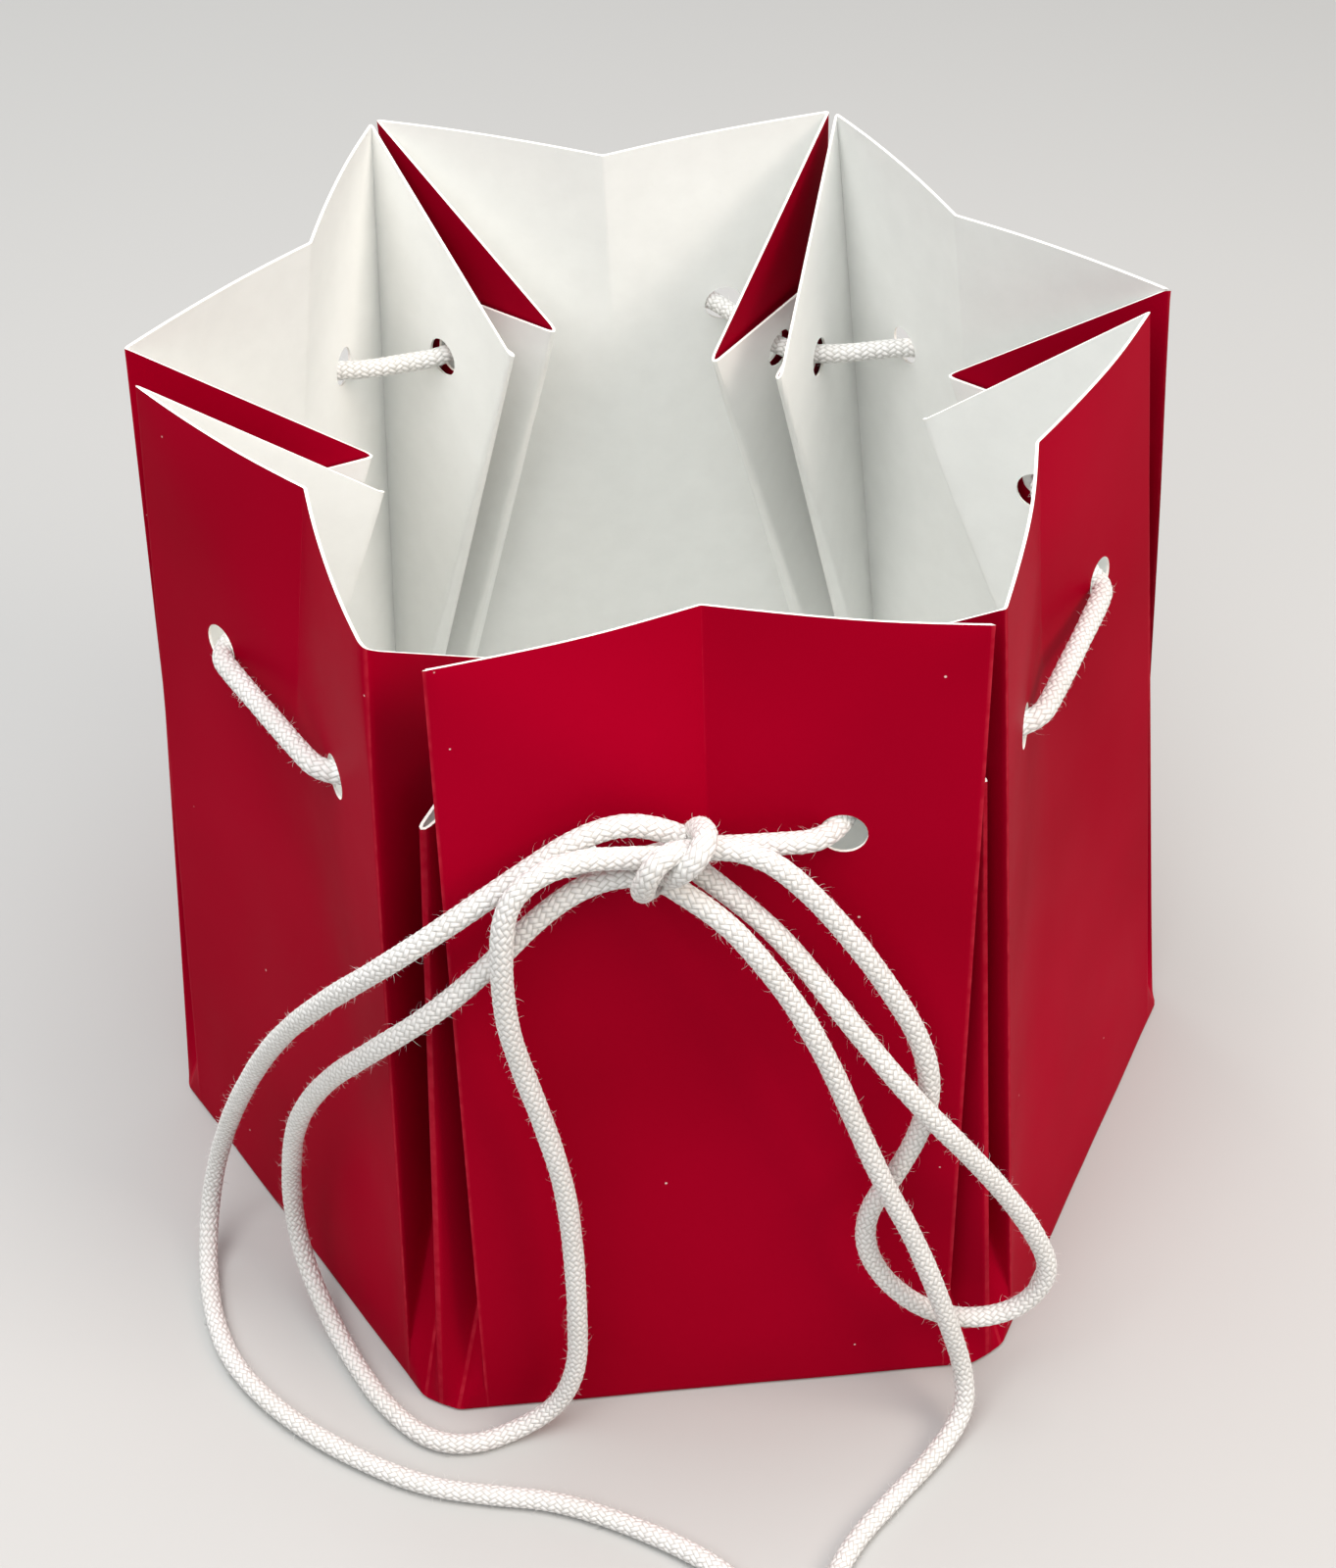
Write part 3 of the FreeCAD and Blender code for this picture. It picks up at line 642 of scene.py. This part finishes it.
def heading(degrees):
    return np.array([math.cos(math.radians(degrees)), math.sin(math.radians(degrees)), 0.0])


def square_to(vector, axis):
    return vector - axis * np.dot(vector, axis)


def meeting_point(centres, radii, towards):
    """The point at the given distances from three centres, on the side named."""
    a, b, c = centres
    along = unit(b - a)
    across = unit(square_to(c - a, along))
    reach, offset, rise = np.linalg.norm(b - a), np.dot(along, c - a), np.dot(across, c - a)
    x = (radii[0] ** 2 - radii[1] ** 2 + reach**2) / (2 * reach)
    y = (radii[0] ** 2 - radii[2] ** 2 + offset**2 + rise**2 - 2 * offset * x) / (2 * rise)
    upright = np.cross(along, across) * math.sqrt(max(radii[0] ** 2 - x**2 - y**2, 0))
    if np.dot(upright, towards) < 0:
        upright = -upright
    return a + along * x + across * y + upright


def wall_creases(name, index):
    """One wall's feet, side creases, pinched rim and the waist that the cord draws in."""
    sway, lean, twist, pinch, dip = WALLS[name]
    outwards, right = heading(-90 + 60 * index), heading(60 * index)
    middle = outwards * BASE_SIDE * math.cos(math.radians(30)) + UP * CARD / 2
    half = math.sqrt((RIM_WIDTH / 2) ** 2 - pinch**2 - dip**2)
    turn = math.asin(twist / (2 * half))
    across = right * math.cos(turn) + outwards * math.sin(turn)
    inwards = right * math.sin(turn) - outwards * math.cos(turn)
    rim_middle = middle + right * sway - outwards * lean
    wall = {"inwards": inwards}
    for side, end in ((-1, "left"), (1, "right")):
        foot = middle + right * side * (BASE_SIDE / 2 - EAR_WIDTH)
        rim = rim_middle + across * side * half
        rim[2] = foot[2] + math.sqrt(SIDE_CREASE**2 - np.sum((rim - foot)[:2] ** 2))
        wall[end] = {
            "foot": foot,
            "ear": foot + unit(rim - foot) * EAR_HEIGHT,
            "rim": rim,
            "cut": middle + right * side * (BASE_SIDE / 2 - CORNER_CUT),
        }
    level = (wall["left"]["rim"][2] + wall["right"]["rim"][2]) / 2
    wall["top"] = np.array([*rim_middle[:2], level - dip]) + inwards * pinch
    climb = np.array([*rim_middle[:2], level]) - middle
    wall["waist"] = middle + climb * (1 - HOLE_DROP / SIDE_CREASE) + inwards * WAIST_PINCH
    return wall


def fin_tip(end, outwards, sideways, reach):
    """A pleat's inward crease at the rim, from its two lengths and its sideways place."""
    rim, cut = end["rim"], end["cut"]
    rim_radius = math.sqrt(FIN_WIDTH**2 - (reach - np.dot(rim, sideways)) ** 2)
    cut_radius = math.sqrt(VALLEY_LENGTH**2 - (reach - np.dot(cut, sideways)) ** 2)
    a = outwards * np.dot(rim, outwards) + UP * rim[2]
    b = outwards * np.dot(cut, outwards) + UP * cut[2]
    gap = np.linalg.norm(b - a)
    along = unit(b - a)
    share = (rim_radius**2 - cut_radius**2 + gap**2) / (2 * gap)
    square = np.cross(sideways, along)
    if np.dot(square, outwards) > 0:
        square = -square
    return a + along * share + square * math.sqrt(rim_radius**2 - share**2) + sideways * reach


def corner_creases(name, index, before, after):
    """The pleat at one corner: six creases, each a foot and a top, two to a blunt fold."""
    outwards, sideways = heading(-60 + 60 * index), heading(30 + 60 * index)
    tips = [fin_tip(end, outwards, sideways, r) for end, r in zip((before, after), CORNERS[name])]
    ridge_foot = (before["cut"] + after["cut"]) / 2
    radii = (PLEAT_WIDTH, PLEAT_WIDTH, RIDGE_LENGTH)
    ridge_top = meeting_point((tips[0], tips[1], ridge_foot), radii, outwards)
    centres = [
        (before["cut"], tips[0], before["rim"], ridge_top),
        (ridge_foot, ridge_top, tips[0], tips[1]),
        (after["cut"], tips[1], ridge_top, after["rim"]),
    ]
    outline = [before["foot"], before["cut"], ridge_foot, after["cut"], after["foot"]]
    creases = []
    for step, (foot, top, previous, following) in enumerate(centres):
        along = unit(top - foot)
        ahead = unit(square_to(following - top, along))
        across = unit(ahead - unit(square_to(previous - top, along))) * FOLD_NOSE / 2
        creases.append((foot + unit(outline[step] - foot) * FOLD_NOSE / 2, top - across))
        creases.append((foot + unit(outline[step + 2] - foot) * FOLD_NOSE / 2, top + across))
    return creases, ridge_top


def side_hole(end, towards):
    """A hole's centre beside a side crease, in the panel that reaches to the point named."""
    down = unit(end["foot"] - end["rim"])
    inset = unit(square_to(towards - end["rim"], down))
    return end["rim"] + down * HOLE_DROP + inset * HOLE_INSET, unit(np.cross(down, inset))


def folded_over(hole, foot, top, towards):
    """The same hole in the layer behind, once a crease is folded flat."""
    down = unit(foot - top)
    inset = unit(square_to(towards - top, down))
    distance = np.linalg.norm(square_to(hole - top, down))
    return top + down * np.dot(hole - top, down) + inset * distance, unit(np.cross(down, inset))


# ---- the card: panels as smooth surfaces --------------------------------------------
# Where the mesh's rows and columns lie, close round the holes. The columns of fins and
# pleats have to be this close, or a hole's ring would fold over.
ROWS = np.r_[
    0, 0.0035, 0.009, 0.02, 0.04:0.68:0.033, 0.70:0.90:0.0105, 0.905:0.985:0.017, 0.989, 0.996, 1
]
HALF_WALL = np.r_[         # distances from a wall's middle at the rim
    0.45, 1.2, 2.4, 4.6, 7.4:17:3.2, 17.6:35.5:2.2, 38.2:49:3.0, 50.6, 52.0, 53.0, 53.55
]
FIN = np.r_[0.008, 0.02, 0.045, 0.09:0.93:0.044, 0.95, 0.975]
PLEAT = np.r_[0.025, 0.06, 0.11:0.91:0.048, 0.94, 0.975]

# Fold marks run from 0 on flat board to 1 on the hardest crease; they pale the red (rub and painted
# highlight) and grey the white (painted shade).
SIDE_MARK, BESIDE_MARK, PLEAT_MARK, FOOT_MARK = 1.0, 0.6, 0.8, 0.9


def facets_at(facets, x, y):
    """Where points of a flat panel go when it is creased into flat facets."""
    best = np.full(x.shape, -1e9)
    placed = np.zeros((*x.shape, 3))
    for flat, solid in facets:
        (x0, y0), (x1, y1), (x2, y2) = flat
        area = (y1 - y2) * (x0 - x2) + (x2 - x1) * (y0 - y2)
        a = ((y1 - y2) * (x - x2) + (x2 - x1) * (y - y2)) / area
        b = ((y2 - y0) * (x - x2) + (x0 - x2) * (y - y2)) / area
        c = 1 - a - b
        inside = np.minimum(np.minimum(a, b), c)
        here = inside > best
        spot = a[..., None] * solid[0] + b[..., None] * solid[1] + c[..., None] * solid[2]
        placed = np.where(here[..., None], spot, placed)
        best = np.where(here, inside, best)
    return placed


def softly_creased(facets, x, y, wide, tall):
    """The same, with the creases inside the panel rounded over the widths given: each point
    is averaged with eight on a ring round it and eight on a ring half as wide."""
    total = facets_at(facets, x, y) * 2
    weight = 2.0
    for ring, share in ((0.5, 1.2), (1.0, 0.8)):
        for k in range(8):
            angle = math.pi * (k + 0.5) / 4
            dx, dy = ring * math.cos(angle) * wide, ring * math.sin(angle) * tall
            total = total + facets_at(facets, x + dx, y + dy) * share
            weight += share
    return total / weight


def smooth_rise(value, low, high):
    share = np.clip((value - low) / (high - low), 0, 1)
    return share * share * (3 - 2 * share)


def wall_columns(name, wall):
    """A wall's surface, column by column from left to right, and its fold marks."""
    foot, top = BASE_SIDE / 2 - EAR_WIDTH, RIM_WIDTH / 2
    ear = foot + (top - foot) * EAR_HEIGHT / SIDE_CREASE
    waist = SIDE_CREASE - HOLE_DROP
    left, right = wall["left"], wall["right"]
    flat = {
        "fl": ((-foot, 0), left["foot"]), "fr": ((foot, 0), right["foot"]),
        "el": ((-ear, EAR_HEIGHT), left["ear"]), "er": ((ear, EAR_HEIGHT), right["ear"]),
        "rl": ((-top, SIDE_CREASE), left["rim"]), "rr": ((top, SIDE_CREASE), right["rim"]),
        "top": ((0, SIDE_CREASE), wall["top"]), "waist": ((0, waist), wall["waist"]),
    }
    facets = []
    for corners in ("fl fr waist", "fr er waist", "er rr waist", "rr top waist",
                    "top rl waist", "rl el waist", "el fl waist"):
        pairs = [flat[c] for c in corners.split()]
        facets.append(([p[0] for p in pairs], [p[1] for p in pairs]))
    half = HALF_WALL / top
    across = np.concatenate([[-1], -half[::-1], [0], half, [1]])
    high = ROWS * SIDE_CREASE
    width = foot + (top - foot) * ROWS
    x = across[:, None] * width[None, :]
    y = np.broadcast_to(high[None, :], x.shape)

    # Below the waist the wall bends over 13 mm; above it the middle crease is crisp, and
    # the others are softer the further out they run.
    edge = width[None, :] - np.abs(x)
    above = smooth_rise(y, waist - 40, waist + 4)
    crisp = np.minimum(0.5 + 0.42 * np.abs(x), 9)
    wide = np.minimum(above * crisp + (1 - above) * 13, edge * 0.95)
    tall = np.minimum(np.minimum(y, SIDE_CREASE - y), np.minimum(edge, 11))
    placed = softly_creased(facets, x, y, wide, tall)

    # Each half is domed by 1.3 mm above the waist, and the board ripples by 0.1 mm.
    share = np.abs(x) / width[None, :]
    dome = 1.3 * np.sin(np.pi * share) * smooth_rise(y, waist - 10, SIDE_CREASE)
    ripple = 0.10 * np.sin(x * 0.11 + y * 0.05 + len(name)) * np.sin(np.pi * share)
    placed = placed - wall["inwards"] * ((dome + ripple) * (edge > 0))[..., None]
    marks = np.zeros(x.shape)
    marks[[0, -1]] = SIDE_MARK
    marks[[1, -2]] = BESIDE_MARK
    marks[len(across) // 2] = 0.3 + 0.35 * smooth_rise(high, waist - 6, waist + 25)
    return placed, marks


def fin_columns(end, crease, flip):
    """The pleat's outer face, from a side crease to an inward crease, ends left out."""
    ear = EAR_HEIGHT / SIDE_CREASE
    foot, tip = crease
    facets = [
        ([(0, 0), (1, 0), (0, ear)], [end["foot"], foot, end["ear"]]),
        ([(0, ear), (1, 0), (1, 1)], [end["ear"], foot, tip]),
        ([(0, ear), (1, 1), (0, 1)], [end["ear"], tip, end["rim"]]),
    ]
    x = np.broadcast_to(FIN[:, None], (len(FIN), len(ROWS)))
    y = np.broadcast_to(ROWS[None, :], x.shape)
    wide = np.minimum(np.minimum(x, 1 - x) * 0.9, 0.10)
    tall = np.minimum(np.minimum(y, 1 - y), 0.05)
    placed = softly_creased(facets, x, y, wide, tall)
    return placed[::-1] if flip else placed


def strip_columns(line, following, shares):
    """A flat strip between two creases, at the given shares of the way across."""
    columns = []
    for share in shares:
        low = line[0] + (following[0] - line[0]) * share
        high = line[1] + (following[1] - line[1]) * share
        columns.append(low + (high - low) * ROWS[:, None])
    return np.array(columns)


def columns_round_the_box():
    """All columns of the card, once round the box, with their fold marks; the punched
    holes, each with its centre, its axis and its panel's first and last columns; and the
    column of the corner whose rim is bent, the front left wall's right one."""
    walls = [wall_creases(name, index) for index, name in enumerate(WALLS)]
    columns, marks, punched = [], [], []

    def add(placed, mark):
        first = sum(len(panel) for panel in columns)
        columns.append(placed)
        marks.append(np.broadcast_to(mark, placed.shape[:2]))
        return first, first + len(placed) - 1

    for index, (wall_name, corner_name) in enumerate(zip(WALLS, CORNERS)):
        wall = walls[index]
        before, after = wall["right"], walls[(index + 1) % 6]["left"]
        creases, ridge_top = corner_creases(corner_name, index, before, after)
        panel = add(*wall_columns(wall_name, wall))
        if wall_name == "front_left":
            bent_corner = panel[1]
        for end in ("left", "right"):
            punched.append((*side_hole(wall[end], wall["waist"]), *panel))
        outer = side_hole(before, creases[0][1])
        inner = folded_over(outer[0], *creases[1], ridge_top)
        far_outer = side_hole(after, creases[5][1])
        far_inner = folded_over(far_outer[0], *creases[4], ridge_top)
        panel = add(fin_columns(before, creases[0], False), 0)
        punched.append((*outer, *panel))
        for hole, side in ((inner, 1), (far_inner, 3), (far_outer, 5)):
            one, two = creases[side - 1], creases[side]
            add(strip_columns(one, two, (0, 0.5, 1)), PLEAT_MARK)
            if side < 5:
                panel = add(strip_columns(two, creases[side + 1], PLEAT), 0)
            else:
                panel = add(fin_columns(after, creases[5], True), 0)
            punched.append((*hole, *panel))
    return np.concatenate(columns), np.concatenate(marks), punched, bent_corner


def rounded_folds(belt, marks):
    """Each sharp crease eased over its neighbours, as thick card bends."""
    sharp = (marks >= PLEAT_MARK).astype(float)
    near = np.maximum(np.roll(sharp, 1, 0), np.roll(sharp, -1, 0)) * (1 - sharp)
    ease = (0.42 * sharp + 0.22 * near)[..., None]
    for _ in range(2):
        middle = (np.roll(belt, 1, 0) + np.roll(belt, -1, 0)) / 2
        belt = belt + (middle - belt) * ease
    return belt


def softened_corner(belt, corner):
    """At this corner the rim was bent round instead of creased, over three columns a side."""
    nearby = np.arange(corner - 3, corner + 4)
    share = 0.5 * smooth_rise(ROWS, 0.84, 1.0)[None, :, None]
    for _ in range(14):
        middle = (belt[nearby - 1] + belt[nearby + 1]) / 2
        belt[nearby] = belt[nearby] + (middle - belt[nearby]) * share
    return belt


def eased_foot(belt, marks):
    """The fold round the base, eased with one more row, 1.4% further in."""
    inset = belt[:, :1] * np.array([0.986, 0.986, 1.0])
    belt = np.concatenate([inset, belt], axis=1)
    belt[:, 1] = (belt[:, 0] + 2 * belt[:, 1] + belt[:, 2]) / 4
    marks = np.concatenate([np.zeros((len(belt), 1)), marks], axis=1)
    marks[:, 1] = FOOT_MARK
    return belt, marks


belt, fold_marks, punched, bent_corner = columns_round_the_box()
belt = softened_corner(rounded_folds(belt, fold_marks), bent_corner)
belt, fold_marks = eased_foot(belt, fold_marks)
ACROSS, HIGH = fold_marks.shape


# ---- the card: punched flat, folded up and thickened ---------------------------------
RING_MARGIN = 0.8          # a ring of the mesh runs this far outside each hole
CLEARED_MARGIN = 2.0       # and the flat grid is taken out at least this far outside it


def hole_block(centre, first, last):
    """The block of mesh cells that a punched hole takes out of its panel."""
    away = np.linalg.norm(belt[first : last + 1] - centre, axis=2)
    column, row = np.unravel_index(np.argmin(away), away.shape)
    keep = HOLE_DIAMETER / 2 + CLEARED_MARGIN
    low_c, high_c, low_r, high_r = column, column, row, row
    while low_c > 0 and away[low_c, row] < keep:
        low_c -= 1
    while high_c < last - first and away[high_c, row] < keep:
        high_c += 1
    while away[column, low_r] < keep:
        low_r -= 1
    while away[column, high_r] < keep:
        high_r += 1
    return first + low_c, first + high_c, low_r, high_r


def flat_places(mesh):
    """The column and row of each point of the blank, while it lies flat."""
    spot = read(mesh.vertices, "co", 3)
    return (
        np.rint((spot[:, 0] + 1) / 2 * ACROSS).astype(int),
        np.rint((spot[:, 1] + 1) / 2 * (HIGH - 1)).astype(int),
    )


def clear_blocks(mesh, blocks):
    """The cells of each block are deleted from the flat blank."""
    column, row = flat_places(mesh)
    corner = read(mesh.loops, "vertex_index", 1, int).reshape(-1, 4)
    face_column, face_row = column[corner].min(axis=1), row[corner].min(axis=1)
    gone = np.zeros(len(corner), dtype=bool)
    for c0, c1, r0, r1, _, _ in blocks:
        gone |= (face_column >= c0) & (face_column < c1) & (face_row >= r0) & (face_row < r1)
    select_only(mesh, polygons=gone)
    bpy.ops.object.mode_set(mode="EDIT")
    bpy.ops.mesh.select_mode(type="FACE")
    bpy.ops.mesh.delete(type="FACE")
    bpy.ops.object.mode_set(mode="OBJECT")


def run_rims_inwards(mesh):
    """The rim of each cleared block is extruded twice: to its ring, whose points are
    level 1, and to the punched edge, level 2."""
    column, row = flat_places(mesh)
    edge = read(mesh.edges, "vertices", 2, int)
    uses = np.bincount(read(mesh.loops, "edge_index", 1, int), minlength=len(edge))
    outer = np.zeros(len(edge), dtype=bool)
    for values, limit in ((column, ACROSS), (row, HIGH - 1)):
        for stop in (0, limit):
            outer |= (values[edge] == stop).all(axis=1)
    rims = (uses == 1) & ~outer
    on_rim = np.zeros(len(mesh.vertices), dtype=bool)
    on_rim[edge[rims]] = True
    select_only(mesh, vertices=on_rim, edges=rims)
    mesh.attributes.new("level", "INT", "POINT")
    for step in (1, 2):
        bpy.ops.object.mode_set(mode="EDIT")
        bpy.ops.mesh.select_mode(type="EDGE")
        bpy.ops.mesh.extrude_edges_move()
        bpy.ops.object.mode_set(mode="OBJECT")
        values = mesh.attributes["level"].data
        level = read(values, "value", 1, np.int32)
        level[read(mesh.vertices, "select", 1, bool)] = step
        values.foreach_set("value", level)


def fold_up(mesh, blocks):
    """Every point of the flat blank goes to its place on the standing box, and those of
    rings and punched edges to circles round their hole."""
    column, row = flat_places(mesh)
    level = read(mesh.attributes["level"].data, "value", 1, np.int32)
    placed = belt[column % ACROSS, row].copy()
    radius = HOLE_DIAMETER / 2
    for c0, c1, r0, r1, centre, axis in blocks:
        inside = (column >= c0) & (column <= c1) & (row >= r0) & (row <= r1) & (level > 0)
        found = np.nonzero(inside)[0]
        offset = placed[found] - centre
        height = offset @ axis
        along = unit(np.cross(axis, UP))
        upright = np.cross(axis, along)
        angle = np.arctan2(offset @ upright, offset @ along)

        # Both levels of a spot share an angle; the spots are spread most of the way to even.
        _, spot = np.unique(column[found] * HIGH + row[found], return_inverse=True)
        real = np.empty(spot.max() + 1)
        real[spot] = angle
        even = np.empty(len(real))
        even[np.argsort(real)] = real.min() + 2 * math.pi * np.arange(len(real)) / len(real)
        turned = (0.35 * real + 0.65 * (even + np.mean(real - even)))[spot, None]
        punched_edge = level[found, None] == 2
        reach = np.where(punched_edge, radius, radius + RING_MARGIN)
        mean = height.mean()
        rise = np.where(punched_edge, mean, (mean * 2 + height[:, None]) / 3)
        placed[found] = (
            centre + axis * rise + (along * np.cos(turned) + upright * np.sin(turned)) * reach
        )
    mesh.vertices.foreach_set("co", (placed * MM).ravel())
    fold = mesh.attributes.new("fold", "FLOAT", "POINT")
    fold.data.foreach_set("value", fold_marks[column % ACROSS, row] * (level == 0))
    mesh.attributes.remove(mesh.attributes["level"])
    mesh.update()


def close_seam_and_base(mesh):
    """The blank's two ends are merged, its lowest ring filled with the base, and all
    faces turned outwards."""
    bpy.ops.object.mode_set(mode="EDIT")
    bpy.ops.mesh.select_mode(type="VERT")
    bpy.ops.mesh.select_all(action="SELECT")
    bpy.ops.mesh.remove_doubles(threshold=0.002 * MM)
    bpy.ops.object.mode_set(mode="OBJECT")

    # The ring's points are matched to 0.001 mm. Two of them round apart and stay out of
    # the base, which leaves two slits 0.02 mm wide beside it.
    lowest_ring = {tuple(place) for place in np.round(belt[:, 0], 3).tolist()}
    places = np.round(read(mesh.vertices, "co", 3) / MM, 3).tolist()
    select_only(mesh, vertices=[tuple(place) in lowest_ring for place in places])
    bpy.ops.object.mode_set(mode="EDIT")
    bpy.ops.mesh.edge_face_add()
    bpy.ops.mesh.select_all(action="SELECT")
    bpy.ops.mesh.normals_make_consistent(inside=False)
    bpy.ops.object.mode_set(mode="OBJECT")
    if max(mesh.polygons, key=lambda face: face.area).normal.z > 0:
        bpy.ops.object.mode_set(mode="EDIT")
        bpy.ops.mesh.flip_normals()
        bpy.ops.object.mode_set(mode="OBJECT")


def folded_sheet():
    """The card: a flat grid, punched, folded up, closed and given its thickness, red
    outside, white inside and cut at the edges."""
    let_go()
    bpy.ops.mesh.primitive_grid_add(x_subdivisions=ACROSS, y_subdivisions=HIGH - 1, size=2)
    sheet = bpy.context.object
    sheet.name = "folded_card_sheet"
    mesh = sheet.data
    blocks = [(*hole_block(centre, *panel), centre, axis) for centre, axis, *panel in punched]
    clear_blocks(mesh, blocks)
    run_rims_inwards(mesh)
    fold_up(mesh, blocks)
    close_seam_and_base(mesh)
    for material in (filmed_red_board(), uncoated_white_back(), sheared_board_edge()):
        mesh.materials.append(material)
    solidify = sheet.modifiers.new("card", "SOLIDIFY")
    solidify.thickness = CARD * MM
    solidify.offset = 0
    solidify.use_even_offset = True
    solidify.use_quality_normals = True
    solidify.material_offset = 1
    solidify.material_offset_rim = 2
    bpy.ops.object.modifier_apply(modifier="card")
    bpy.ops.object.shade_smooth_by_angle(angle=math.radians(38))
    return sheet


card_box = folded_sheet()
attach(card_box, "root")
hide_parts("folded_card")

# ---- floor and light ---------------------------------------------------------------
let_go()
bpy.ops.mesh.primitive_plane_add(size=14, location=(0, 0, 0))
floor = bpy.context.object
floor.name = "floor"
floor.data.materials.append(plain_paper_floor())

LIT_POINT = Vector((0, 0, 0.1))
for name, place, size, power, colour in (
    ("top_softbox", (0, -0.12, 1.3), (1.1, 0.9), 15, "#FFFFFF"),
    ("front_softbox", (-0.5, -0.9, 1.3), (0.9, 0.7), 8, "#FFFFFF"),
    ("right_softbox", (0.95, -0.62, 1.05), (0.7, 0.7), 11, "#FFF0E4"),
    ("back_softbox", (-0.75, 1.05, 0.95), (0.8, 0.8), 5, "#FFFFFF"),
):
    data = bpy.data.lights.new(name, "AREA")
    data.shape = "RECTANGLE"
    data.size, data.size_y = size
    data.energy = power
    data.color = srgb(colour)[:3]
    lamp = new_object(name, data)
    aim = (LIT_POINT - Vector(place)).to_track_quat("-Z", "Y").to_matrix().to_4x4()
    lamp.matrix_world = Matrix.Translation(place) @ aim

world = bpy.data.worlds.new("studio")
world.use_nodes = True
world.node_tree.nodes["Background"].inputs["Color"].default_value = srgb("#EDEFF2")
world.node_tree.nodes["Background"].inputs["Strength"].default_value = 0.42
bpy.context.scene.world = world
bpy.context.scene.view_settings.view_transform = "Standard"

let_go()
